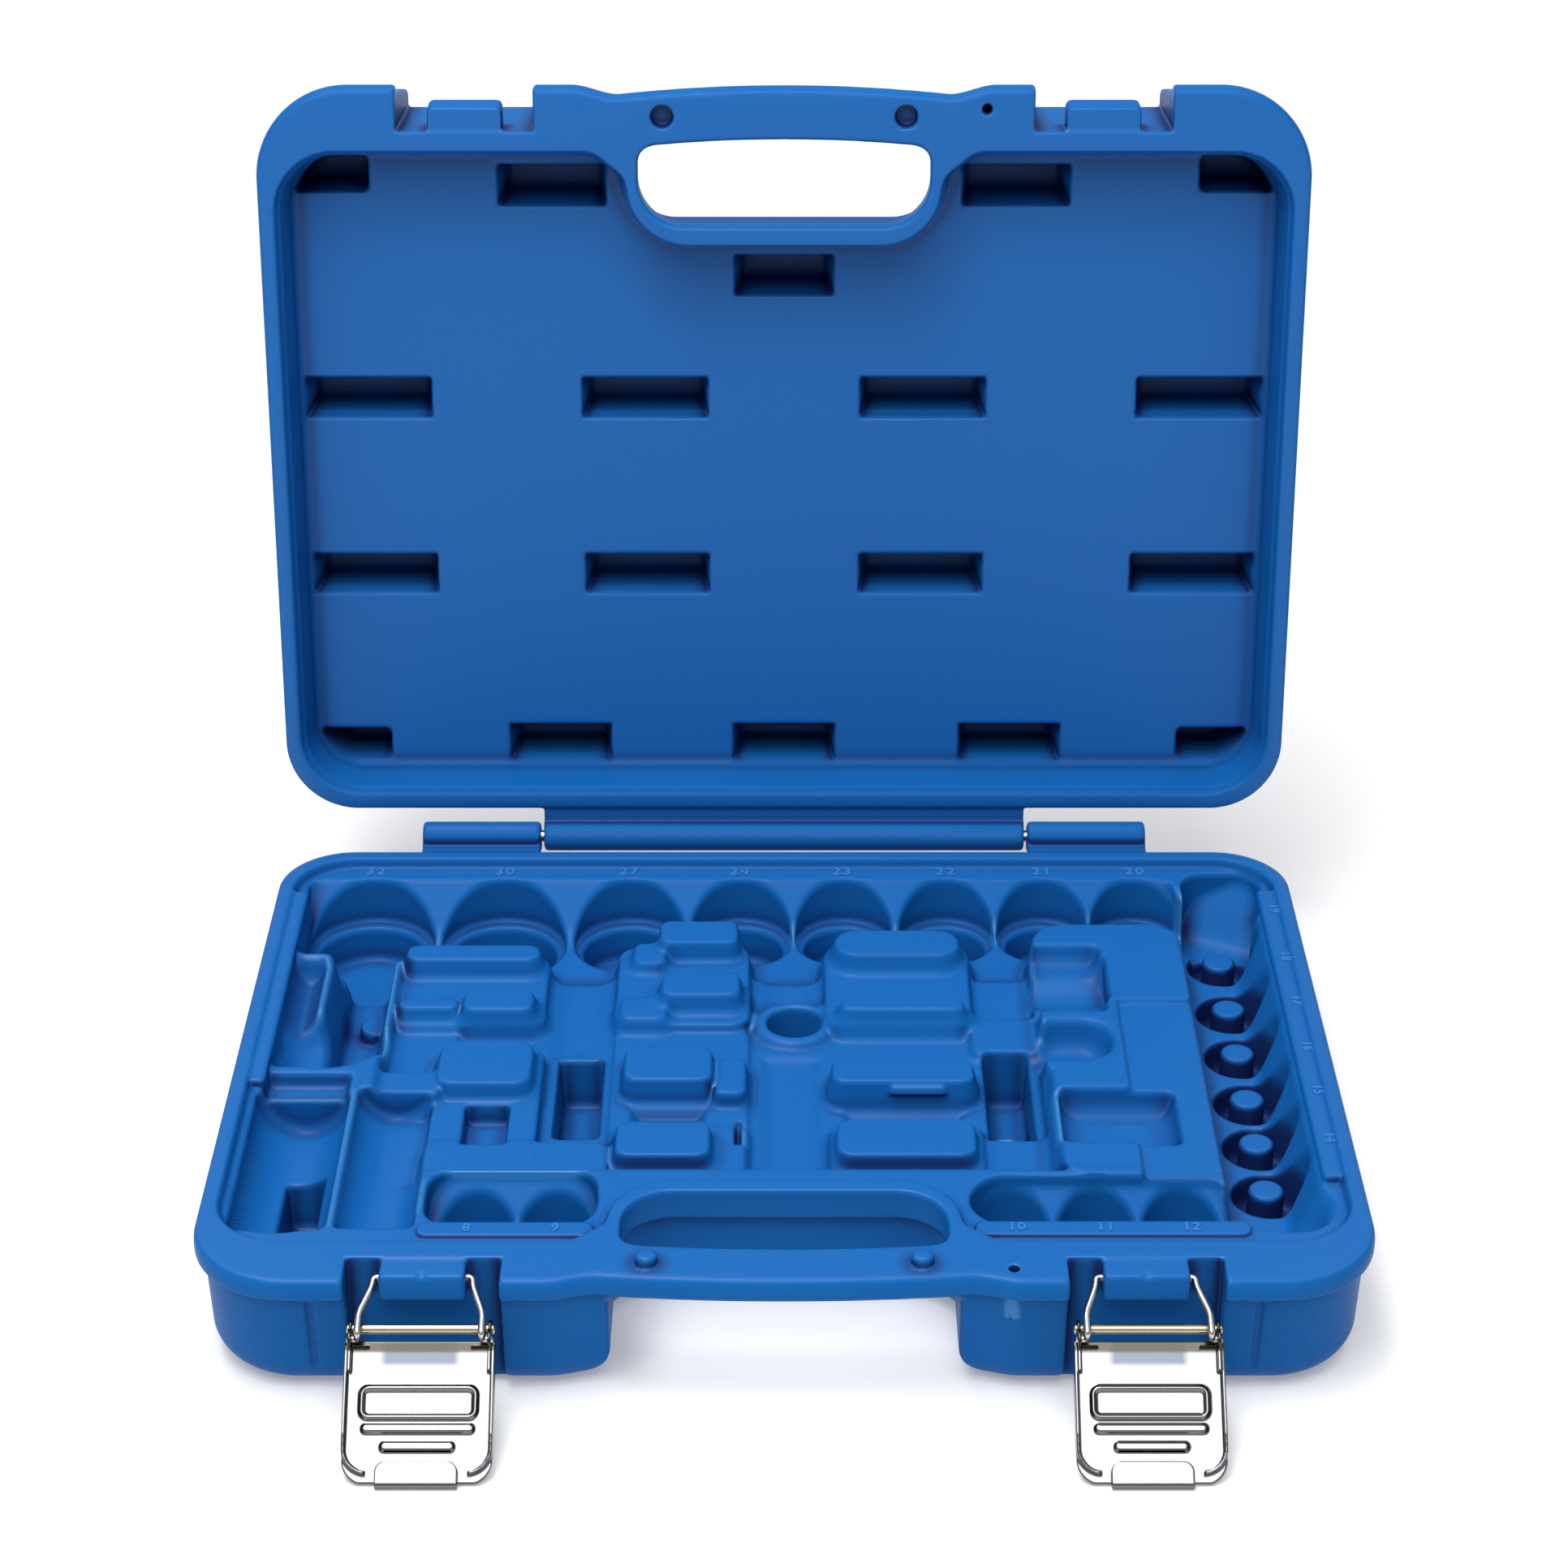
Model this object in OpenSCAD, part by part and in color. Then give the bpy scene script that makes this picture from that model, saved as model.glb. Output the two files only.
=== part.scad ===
// Hard tool case: two twin-wall halves on a hinge, closed by two wire-bail latches.
// Row frame in mm: origin on the middle of the base's underside, X right, Y back, Z up.
// The lid stands open; each half is drawn rim up, and the lid is turned over onto the hinge.

/* [Case] */
// overall width, left to right
case_w = 340; // [336:1:360]
// depth of each half, hinge side to the front of the grip
case_d = 247; // [244:1:260]
// height of the base half
base_h = 44; // [40:1:54]
// height of the lid half
lid_h = 48; // [46:1:58]
// wall of the twin-wall shell
wall = 2; // [1.5:0.1:2.4]
// radius of the two front corners in plan
front_r = 30; // [24:1:34]
// radius of the two back corners in plan
back_r = 24; // [18:1:30]
// radius that turns the walls into the underside
edge_r = 10; // [6:1:12]
// height of the skirt round the rim
skirt_h = 6.5; // [5:0.5:8]
// how far the skirt stands out of the body
skirt_out = 2.5; // [1.5:0.5:3]
// gap between the two rims when shut
part_gap = 0.4; // [0.3:0.1:0.8]
// angle that the lid stands open
lid_open = 97.47; // [80:0.01:110]

/* [Grip] */
// half width of the hand hole
hole_half = 47; // [44:1:50]
// front to back width of the hand hole
hole_d = 28; // [24:1:30]
// distance from the front of the case to the hand hole
grip_d = 16.8; // [15:0.1:19]
// thickness of each half of the grip
grip_t = 10; // [8:0.5:14]
// half width of the space under the grip
grip_half = 50; // [49.5:0.5:52]
// diameter of the locating pegs
peg_d = 6.5; // [5:0.5:7]
// height of the locating pegs
peg_h = 3.5; // [2:0.5:4.5]
// how far each peg stands from the middle
peg_x = 39.1; // [34:0.1:44]
// diameter of the tie hole through both halves of the grip
tie_d = 3.2; // [2.5:0.1:4]

/* [Hinge] */
// radius of the hinge barrels
barrel_r = 5; // [4.5:0.1:6]
// distance from the hinge axis to the back of the halves
hinge_off = 9.5; // [9:0.5:13]
// half length of the middle barrel, on the lid
lid_barrel = 82.4; // [70:0.1:90]
// length of each outer barrel, on the base
base_barrel = 40.5; // [36:0.5:46]
// diameter of the hinge pins
pin_d = 4; // [3:0.1:4.5]
// length of each hinge pin
pin_l = 50; // [40:1:54]
// running clearance on radius of pins and pivots
run = 0.07; // [0.05:0.01:0.1]

/* [Inner walls] */
// how far the tray lies below the rim of the base
tray_d = 3; // [2.5:0.5:4]
// depth of the lid's inner panel
panel_d = 20; // [16:1:22]
// depth of the lid's wells below the panel
well_d = 21; // [16:1:22]
// width of the rim at the sides
rim_w = 5.5; // [5:0.5:7]
// depth of the big socket pockets
pocket_d = 30; // [24:1:34]

/* [Latches] */
// distance of each latch from the middle
latch_x = 102.3; // [98:0.1:108]
// width of the latch recess
recess_w = 44; // [43.5:0.1:48]
// depth of the latch recess behind the front of the case
recess_d = 12; // [12:0.5:14]
// half width of the boss that holds the bail
boss_half = 12.3; // [10:0.1:13]
// height of that boss
boss_h = 9; // [8:0.5:11]
// bail axis behind the front of the case
bail_in = 9; // [8.5:0.1:9.5]
// bail axis below the rim
bail_down = 4.5; // [4:0.1:5]
// diameter of the bail wire
bail_d = 2.2; // [1.8:0.1:2.4]
// bail length, axis to axis
bail_l = 18.6; // [18:0.1:20]
// how far the bail hangs below level
bail_hang = 30.7; // [24:0.1:34]
// how far the bail's arms are cranked over the hook pin
bail_crank = 2.6; // [2.5:0.1:2.8]
// lever length, pivot to thumb edge
lever_l = 41.4; // [38:0.1:44]
// half width of the lever over its flanges
lever_half = 21.1; // [20.8:0.1:21.3]
// thickness of the lever's sheet
sheet = 1; // [0.8:0.1:1.1]
// height of the lever's side flanges
flange_h = 3.6; // [3:0.1:4]
// pivot above the lever's plate
pivot_up = 2.9; // [2.6:0.1:3.2]
// diameter of the hook pin
hook_d = 2.8; // [2.4:0.1:3.2]
// hook pin beyond the pivot
hook_out = 3.2; // [3:0.1:4]
// radius of the fold at the thumb edge
fold_r = 1.5; // [1.2:0.1:1.8]

/* [Hidden] */
$fn = 96;
// small overlap for cuts
e = 0.5;
front_y = -case_d / 2;
back_y = case_d / 2;
hinge_y = back_y + hinge_off;
hinge_z = base_h + part_gap / 2;
// feature places follow the width and the depth
kw = (case_w / 2 - rim_w) / 164.5;
kd = (case_d - 28) / 219;
// hand hole
hole_y0 = front_y + grip_d;
hole_y1 = hole_y0 + hole_d;
// the space under the grip ends behind the hand hole
under_y = hole_y1 + 2.5;
tie_x = 64.9;
tie_y = front_y + 7;
peg_y = front_y + 9.4;
// latch
recess_y = front_y + recess_d;
bail_y = front_y + bail_in;
bail_z = base_h - bail_down;
bail_r = bail_d / 2;
arm_x = boss_half + 0.6 + bail_r;
ear_in = lever_half - 2 * sheet;
pivot_arm_x = ear_in - 1.7;
pivot_y = bail_y - bail_l * cos(bail_hang);
pivot_z = bail_z - bail_l * sin(bail_hang);
// the lever leans until its thumb edge is on the floor
fold_u = lever_l - fold_r;
fold_n = pivot_up + sheet - fold_r;
fold_reach = sqrt(fold_u * fold_u + fold_n * fold_n);
lever_hang = asin((pivot_z - fold_r - 0.05) / fold_reach) - atan(fold_n / fold_u);
// places of the small sockets' studs, counted from the back
stud_s = [54, 83, 109.5, 136, 160.5, 185.5];
hook_n = 1.8;
hook_r = hook_d / 2;
rivet_r = 1;
ear_r = 2.6;
// shut: bail upright, hook pin just over the tongue
shut_lean = 0.6;
tongue_h = bail_l * cos(shut_lean) - bail_down - hook_out - hook_r - 0.3 - part_gap;
lid_recess_y = recess_y + 1.9;
blue = [0.10, 0.33, 0.62];
steel = [0.72, 0.73, 0.74];
zinc = [0.78, 0.66, 0.40];

function px(x) = x * kw;
// s is counted forward from the back edge's nominal line
function py(s) = back_y - 6.2 - (s - 15.7) * kd;

// rounded rectangle in plan
module plan(x0, x1, y0, y1, r) {
    translate([x0 + r, y0]) square([x1 - x0 - 2 * r, y1 - y0]);
    translate([x0, y0 + r]) square([x1 - x0, y1 - y0 - 2 * r]);
    for (x = [x0 + r, x1 - r])
        for (y = [y0 + r, y1 - r])
            translate([x, y]) circle(r);
}

// pocket from the rim plane down, grown by g on every side
module pocket(x0, x1, y0, y1, d, r, g = 0) {
    translate([0, 0, -d - g])
        linear_extrude(d + g + e)
            plan(x0 - g, x1 + g, y0 - g, y1 + g, r + g);
}

// the same, placed by the tray's own coordinates
module tray_pocket(x0, x1, s0, s1, d, r, g = 0) {
    pocket(px(x0), px(x1), py(s1), py(s0), d, r, g);
}

// round pocket
module round_pocket(x, s, r, d, g = 0) {
    translate([px(x), py(s), -d - g]) cylinder(r = r + g, h = d + g + e);
}

// plan of the half, inset by i, with different corner radii at front and back
module outline(i) {
    w = case_w / 2 - i;
    rf = front_r - i;
    rb = back_r - i;
    translate([-w + rf, front_y + i]) square([2 * w - 2 * rf, case_d / 2 - i]);
    translate([-w + rb, 0]) square([2 * w - 2 * rb, back_y - i]);
    translate([-w, front_y + i + rf]) square([2 * w, case_d - 2 * i - rf - rb]);
    for (sx = [-1, 1]) {
        translate([sx * (w - rf), front_y + i + rf]) circle(rf);
        translate([sx * (w - rb), back_y - i - rb]) circle(rb);
    }
}

// side profile with one rounded lower corner at each end
module rounded_ends(a0, a1, h, r) {
    translate([a0 + r, -h]) square([a1 - a0 - 2 * r, h]);
    translate([a0, -h + r]) square([a1 - a0, h - r]);
    for (a = [a0 + r, a1 - r])
        translate([a, -h + r]) circle(r);
}

// corner post with a rounded foot
module corner_post(x, y, r, h, er) {
    translate([x, y, 0])
        rotate_extrude()
            intersection() {
                rounded_ends(-r, r, h, er);
                translate([0, -h]) square([r, h]);
            }
}

// body below the skirt, inset by i on the walls and the underside
module body(h, i) {
    w = case_w / 2 - i;
    rf = front_r - i;
    rb = back_r - i;
    y0 = front_y + i;
    y1 = back_y - i;
    er = edge_r - (i - skirt_out);
    translate([-w + rf, 0, 0])
        rotate([90, 0, 90])
            linear_extrude(2 * w - 2 * rf)
                rounded_ends(y0, y1, h, er);
    translate([-w + rb, 0, 0])
        rotate([90, 0, 90])
            linear_extrude(2 * w - 2 * rb)
                intersection() {
                    rounded_ends(y0, y1, h, er);
                    translate([0, -h]) square([y1, h]);
                }
    translate([0, y1 - rb, 0])
        rotate([90, 0, 0])
            linear_extrude(y1 - y0 - rf - rb)
                rounded_ends(-w, w, h, er);
    for (sx = [-1, 1]) {
        corner_post(sx * (w - rf), y0 + rf, rf, h, er);
        corner_post(sx * (w - rb), y1 - rb, rb, h, er);
    }
}

// space under the grip, kept out of the body
module under_grip(h, g = 0) {
    translate([0, 0, -h - e])
        linear_extrude(h + e - grip_t + g)
            plan(-grip_half - g, grip_half + g, front_y - 20, under_y + g, 12);
}

// hand hole, wide at the back corners
module hand_hole(h) {
    translate([0, 0, -h - e])
        linear_extrude(h + 2 * e) {
            plan(-hole_half, hole_half, hole_y0, hole_y1 - 8, 4);
            plan(-hole_half, hole_half, hole_y0 + 6, hole_y1, 13);
        }
}

// shallow dips in the front edge at both ends of the grip
module grip_dips(h) {
    for (sx = [-1, 1])
        translate([sx * 57, front_y - 31, -h - e])
            cylinder(r = 34, h = h + 2 * e);
}

// open recess for one latch, from the front, through the whole height
module latch_recess(h, y, g = 0) {
    for (sx = [-1, 1])
        translate([sx * latch_x - recess_w / 2 - g, front_y - 20, -h - e])
            cube([recess_w + 2 * g, y - front_y + 20 + g, h + 2 * e]);
}

// outside of one half
module shell(h, recess) {
    difference() {
        union() {
            translate([0, 0, -skirt_h])
                linear_extrude(skirt_h) outline(0);
            body(h, skirt_out);
        }
        under_grip(h);
        hand_hole(h);
        grip_dips(h);
        latch_recess(h, recess);
        translate([tie_x, tie_y, -h])
            cylinder(d = tie_d, h = h + e);
    }
}

// inner wall's edge, which runs round the hand hole
module inner_floor(d, g = 0) {
    difference() {
        pocket(px(-164.5), px(164.5), py(235.8), py(15.7), d, 20, g);
        translate([0, 0, -d - g - e])
            linear_extrude(d + g + 2 * e)
                plan(-grip_half - wall + g, grip_half + wall - g, front_y, under_y + wall - g, 16);
    }
}

// one pair of barrels' webs and the barrels, along x from a to b
module barrel(a, b, side) {
    translate([a, hinge_y, part_gap / 2])
        rotate([0, 90, 0]) cylinder(r = barrel_r, h = b - a);
    translate([a, back_y - 4, -barrel_r + part_gap / 2])
        cube([b - a, hinge_off + 4, barrel_r - 1]);
}

// socket pocket: a round mouth with a narrower well below
module socket(x, r, g) {
    round_pocket(x, 24.2 + r, r, 18, g);
    round_pocket(x, 26.4 + r, r - 3, pocket_d, g);
}

// space over a plane that leans toward the front, along x from x0 to x1
module lean_cut(x0, x1, s0, s1, z0, m, zf, g) {
    c = sqrt(1 + m * m);
    za = z0 + m * g - g * c;
    sb = s0 + (z0 - g * c - zf + g) / m;
    translate([px(x0) - g, 0, 0])
        rotate([90, 0, 90])
            linear_extrude(px(x1) - px(x0) + 2 * g)
                polygon([[py(s0) + g, e], [py(s0) + g, za], [py(sb), zf - g],
                    [py(s1) - g, zf - g], [py(s1) - g, e]]);
}

// half round groove along y, open to the rim
module trough(x, s0, s1, zc, r, g) {
    translate([px(x), py(s0) + g, zc])
        rotate([90, 0, 0]) cylinder(r = r + g, h = py(s0) - py(s1) + 2 * g);
    translate([px(x) - r - g, py(s1) - g, zc])
        cube([2 * r + 2 * g, py(s0) - py(s1) + 2 * g, e - zc]);
}

// block that stands in the basin, shrunk by g on every side
module block(x0, x1, s0, s1, top, r, g) {
    translate([0, 0, -base_h + 1])
        linear_extrude(base_h - 1 + top - g)
            plan(px(x0) + g, px(x1) - g, py(s1) + g, py(s0) - g, max(r - g, 0.6));
}

// big sockets' slope and wells, and the basin in the middle
module basin(g) {
    lean_cut(-160, 131, 25, 72, -3, 0.82, -16.5, g);
    socket(-138, 21.6, g);
    socket(-94, 21.4, g);
    socket(-51.5, 19.2, g);
    socket(-14.5, 17.6, g);
    socket(20, 16.8, g);
    socket(54.5, 16.4, g);
    socket(87, 16, g);
    socket(118, 15.8, g);
    tray_pocket(-127, 131, 60, 196, 13.5, 4, g);
    tray_pocket(-78, -54, 62, 124, 15, 4, g);
    tray_pocket(-11, 14, 62, 112, 15, 4, g);
}

// rests for the tools, with ridges across them
module rests(g) {
    // left group
    block(-125.5, -78, 66, 107, -9.5, 5, g);
    block(-122, -81, 67.5, 76.5, -3, 3, g);
    block(-122, -104.5, 98, 104, -4.5, 2.5, g);
    block(-103, -81, 94.5, 106, -3.5, 3, g);
    block(-124, -104, 105, 134, -12, 5, g);
    block(-106.5, -79, 125, 149.5, -3, 4, g);
    block(-108, -76, 121, 201, -8.5, 5, g);
    block(-107, -53, 174, 202, -8, 4, g);
    block(-133, -105, 140, 152.5, -5, 3, g);
    // middle group, left of the channel
    block(-54, -11.5, 58, 106, -9.5, 5, g);
    block(-53.4, -11.7, 104, 201.5, -12.2, 4, g);
    block(-40.5, -15.5, 51.5, 65.5, -3, 3, g);
    block(-49, -39, 61, 74, -6, 3, g);
    block(-38.5, -15, 84.5, 97.5, -3, 3, g);
    block(-51, -37, 94, 105.5, -7, 3, g);
    block(-49.5, -22.5, 127, 146, -4, 4, g);
    block(-23, -12.2, 129, 149, -7, 3, g);
    block(-50.5, -23, 169, 187, -4, 4, g);
    block(-52, -12, 163, 202.5, -9.5, 3, g);
    // middle group, right of the channel
    block(13.5, 60, 58.4, 107, -9.5, 5, g);
    block(17.5, 56.5, 57.6, 73, -3, 5, g);
    block(19, 56.5, 99.5, 104.6, -4, 2.5, g);
    block(15.5, 58.2, 134.5, 146.6, -4, 4, g);
    block(16.5, 57, 168, 186.6, -4, 4, g);
    block(14.6, 60.2, 163.4, 201.2, -9.5, 3, g);
    // right group
    block(81.5, 132, 53.5, 203, -3, 12, g);
    block(60.4, 82, 100, 121, -11, 4, g);
    block(60.6, 82.4, 168.4, 202.2, -12, 3, g);
}

// bays, slots and wells cut after the rests
module bays(g) {
    tray_pocket(-98.5, -83.5, 153, 176, 15, 2, g);
    tray_pocket(-49, -22.5, 148, 158, 15.5, 3, g);
    tray_pocket(-8.5, 12.5, 118, 192.5, 14.5, 3, g);
    round_pocket(3.3, 101, 9.4, 32, g);
    tray_pocket(17, 57, 149, 160, 15.5, 3, g);
    tray_pocket(104.5, 131, 99, 198.4, 4.6, 2, g);
    tray_pocket(78, 104, 66.5, 108, 11, 4, g);
    tray_pocket(76, 103.6, 112, 136, 13, 10, g);
    tray_pocket(83.5, 120, 151.5, 181, 12, 3, g);
    tray_pocket(76, 84, 140, 196.4, 9.5, 3, g);
    tray_pocket(-71.5, -56, 119, 165, 31, 3, g);
    tray_pocket(62, 77.5, 119, 167, 31, 3, g);
    // ratchet's head and handle, and the long troughs
    tray_pocket(-161, -146, 74, 140, 11, 5, g);
    tray_pocket(-148, -125.5, 32, 134, 27, 6, g);
    round_pocket(-142.5, 122, 17, 14, g);
    tray_pocket(-161.4, -132.5, 143, 155, 7.5, 3, g);
    trough(-147, 153, 226, -4, 14.2, g);
    tray_pocket(-161.8, -132.2, 190, 228, 12, 12, g);
    tray_pocket(-150.5, -137, 182, 214, 33, 3, g);
    trough(-119, 151.4, 225, -2.5, 11.6, g);
    // short sockets along the front
    lean_cut(-105, -55, 196, 223.5, -6.5, 0.75, -17, g);
    round_pocket(-90.5, 210.5, 12.2, 27, g);
    round_pocket(-67, 210.5, 11.6, 27, g);
    lean_cut(57.5, 134, 199.5, 223, -6.6, 0.75, -17, g);
    round_pocket(67.5, 211, 11.6, 27, g);
    round_pocket(91.7, 211, 11.8, 27, g);
    round_pocket(116.5, 211, 11.8, 27, g);
    // column of short sockets on the right, under a leaning wall
    c = 2.42;
    translate([0, py(226) - g, 0])
        rotate([90, 0, 0])
            mirror([0, 0, 1])
                linear_extrude(py(40) - py(226) + 2 * g)
                    polygon([[px(131) - g, e], [px(158.5) + g, e], [px(158.5) + g, -2 + 2.2 * g - c * g],
                        [px(150) + 0.6 * g, -20 - g], [px(131) - g, -20 - g]]);
    for (s = stud_s)
        round_pocket(145.5, s, 11.6, 29, g);
    tray_pocket(136, 157, 26, 50, 18, 8, g);
}

// all the spaces of the tray, grown by g
module tray(g) {
    difference() {
        basin(g);
        rests(g);
    }
    bays(g);
}

// raised strips that carry the sizes
module strips() {
    translate([px(-165.5), py(152), -6]) cube([6, py(36) - py(152), 5.4]);
    translate([px(158.5), py(203), -6]) cube([7, py(35) - py(203), 5.2]);
    translate([px(-106), py(231), -6]) cube([51, 6.8, 4.2]);
    translate([px(55), py(230.5), -6]) cube([79.5, 6.8, 4.2]);
}

// studs that hold the small sockets
module studs() {
    for (s = stud_s)
        translate([px(144.8), py(s), -29.5]) cylinder(r = 5.5, h = 12);
    translate([px(-132.5), py(86), -28]) cylinder(r = 5.6, h = 5.5);
}

// wells of the lid panel
module wells(g) {
    d = panel_d + well_d;
    for (x = [-77.3, 0, 78])
        tray_pocket(x - 19.5, x + 19.5, 18.5, 35.5, d, 3, g);
    // the outer ones of these rows keep their distance from the sides
    for (x = [31.2 - case_w / 2, px(-46.4), px(46.4), case_w / 2 - 31.2])
        for (s = [88.25, 149.75])
            pocket(x - 23, x + 23, py(s) - 8.75, py(s) + 8.75, d, 3, g);
    tray_pocket(-18.3, 18.3, 182.5, 200, d, 3, g);
    for (x = [-76, 76])
        tray_pocket(x - 19.7, x + 19.7, 212.5, 230, d, 3, g);
    // the corner wells keep their distance from the corners
    for (m = [0, 1])
        mirror([m, 0, 0]) {
            pocket(case_w / 2 - 35, case_w / 2 - 8, back_y - 23.5, back_y - 10.5, d, 6, g);
            pocket(case_w / 2 - 35, case_w / 2 - 5.6, front_y + 24.5, front_y + 38.5, d, 5, g);
        }
}

// closed space between the two walls of the base
module base_void() {
    difference() {
        intersection() {
            body(base_h - wall, skirt_out + wall);
            translate([-case_w, -case_d, -base_h]) cube([2 * case_w, 2 * case_d, base_h - tray_d - wall]);
        }
        tray(wall);
        under_grip(base_h, wall);
        latch_recess(base_h, recess_y, wall);
    }
}

// closed space between the two walls of the lid
module lid_void() {
    difference() {
        intersection() {
            body(lid_h - wall, skirt_out + wall);
            translate([-case_w, -case_d, -lid_h]) cube([2 * case_w, 2 * case_d, lid_h - panel_d - wall]);
        }
        wells(wall);
        under_grip(lid_h, wall);
        latch_recess(lid_h, lid_recess_y, wall);
    }
}

module base_half() {
    pin_r = pin_d / 2;
    bar0 = lid_barrel + 1.1;
    color(blue)
        translate([0, 0, base_h])
            difference() {
                union() {
                    difference() {
                        shell(base_h, recess_y);
                        inner_floor(tray_d);
                        tray(0);
                        base_void();
                    }
                    studs();
                    strips();
                    barrel(-bar0 - base_barrel, -bar0, -1);
                    barrel(bar0, bar0 + base_barrel, 1);
                    for (sx = [-1, 1]) {
                        translate([sx * latch_x - boss_half, front_y + 3.5, -boss_h])
                            cube([2 * boss_half, recess_d - 3.5 + 1, boss_h]);
                        translate([sx * peg_x, peg_y, -1])
                            cylinder(d = peg_d, h = peg_h + 1);
                    }
                }
                // bore of the bails
                for (sx = [-1, 1]) {
                    translate([sx * latch_x - boss_half - e, bail_y, -bail_down])
                        rotate([0, 90, 0]) cylinder(r = bail_r + run, h = 2 * boss_half + 2 * e);
                    // blind bores that grip the hinge pins
                    translate([sx * bar0, hinge_y, part_gap / 2])
                        rotate([0, sx * 90, 0])
                            translate([0, 0, -e]) cylinder(r = pin_r, h = pin_l / 2 + 4 + e);
                }
            }
}

// lid, rim up, in the base's plan
module lid_local() {
    pin_r = pin_d / 2 + run;
    difference() {
        union() {
            difference() {
                shell(lid_h, lid_recess_y);
                inner_floor(panel_d);
                wells(0);
                lid_void();
            }
            barrel(-lid_barrel, lid_barrel, 0);
            for (sx = [-1, 1])
                translate([sx * latch_x - boss_half + 0.3, front_y + 5, -tongue_h])
                    cube([2 * boss_half - 0.6, recess_d - 5 + 3, tongue_h]);
        }
        for (sx = [-1, 1]) {
            translate([sx * peg_x, peg_y, -peg_h - 1])
                cylinder(d = peg_d + 0.7, h = peg_h + 1 + e);
            translate([sx * (lid_barrel + e), hinge_y, part_gap / 2])
                rotate([0, -sx * 90, 0])
                    cylinder(r = pin_r, h = pin_l / 2 + 4);
        }
    }
}

module lid_half() {
    color(blue)
        translate([0, hinge_y, hinge_z])
            rotate([-lid_open, 0, 0])
                translate([0, -hinge_y, part_gap / 2])
                    mirror([0, 0, 1])
                        lid_local();
}

module hinge_pin(sx) {
    color(steel)
        translate([sx * (lid_barrel + 0.55), hinge_y, hinge_z])
            rotate([0, 90, 0]) cylinder(d = pin_d, h = pin_l, center = true);
}

module hinge_pin_left() {
    hinge_pin(-1);
}

module hinge_pin_right() {
    hinge_pin(1);
}

// round wire from a to b
module rod(a, b) {
    d = b - a;
    l = sqrt(d[0] * d[0] + d[1] * d[1] + d[2] * d[2]);
    translate(a)
        rotate([0, acos(d[2] / l), atan2(d[1], d[0])])
            cylinder(r = bail_r, h = l);
}

// bent wire: bar in the boss, two splayed arms cranked over the hook pin, ends turned out
// into the lever's ears
module latch_bail(sx) {
    end_x = ear_in + sheet + 0.5;
    color(steel)
        translate([sx * latch_x, bail_y, bail_z])
            rotate([bail_hang, 0, 0]) {
                rotate([0, 90, 0]) cylinder(r = bail_r, h = 2 * arm_x, center = true);
                for (m = [-1, 1]) {
                    bar = [m * arm_x, 0, 0];
                    knee = [m * pivot_arm_x, -bail_l + 0.6, bail_crank];
                    pivot = [m * pivot_arm_x, -bail_l, 0];
                    for (c = [bar, knee, pivot])
                        translate(c) sphere(bail_r + 0.2);
                    rod(bar, knee);
                    rod(knee, pivot);
                    translate([m * (pivot_arm_x + end_x) / 2, -bail_l, 0])
                        rotate([0, 90, 0])
                            cylinder(r = bail_r, h = end_x - pivot_arm_x, center = true);
                }
            }
}

module latch_bail_left() {
    latch_bail(-1);
}

module latch_bail_right() {
    latch_bail(1);
}

// lever's own frame: origin on the pivot, plate toward -z, thumb edge toward -y
module in_lever(sx) {
    translate([sx * latch_x, pivot_y, pivot_z])
        rotate([lever_hang, 0, 0])
            children();
}

module ear() {
    intersection() {
        union() {
            circle(ear_r + 0.2);
            translate([hook_out, -hook_n]) circle(ear_r);
            translate([0, -hook_n]) square([hook_out, ear_r]);
            translate([-9, -pivot_up - sheet]) square([9, pivot_up + sheet + 0.6]);
            translate([-9, -pivot_up - sheet]) square([9 + 1.5, 1.5]);
            translate([0, -3]) square([hook_out, 3.5]);
        }
        translate([-9, -pivot_up - sheet]) square([20, 20]);
    }
}

// raised bead across the plate
module bead(u0, u1, half) {
    r = (u1 - u0) / 2;
    for (x = [-half + r, half - r])
        translate([x, -(u0 + u1) / 2, -pivot_up - 0.2]) cylinder(r = r, h = 0.8);
    translate([-half + r, -u1, -pivot_up - 0.2]) cube([2 * half - 2 * r, u1 - u0, 0.8]);
}

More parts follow.
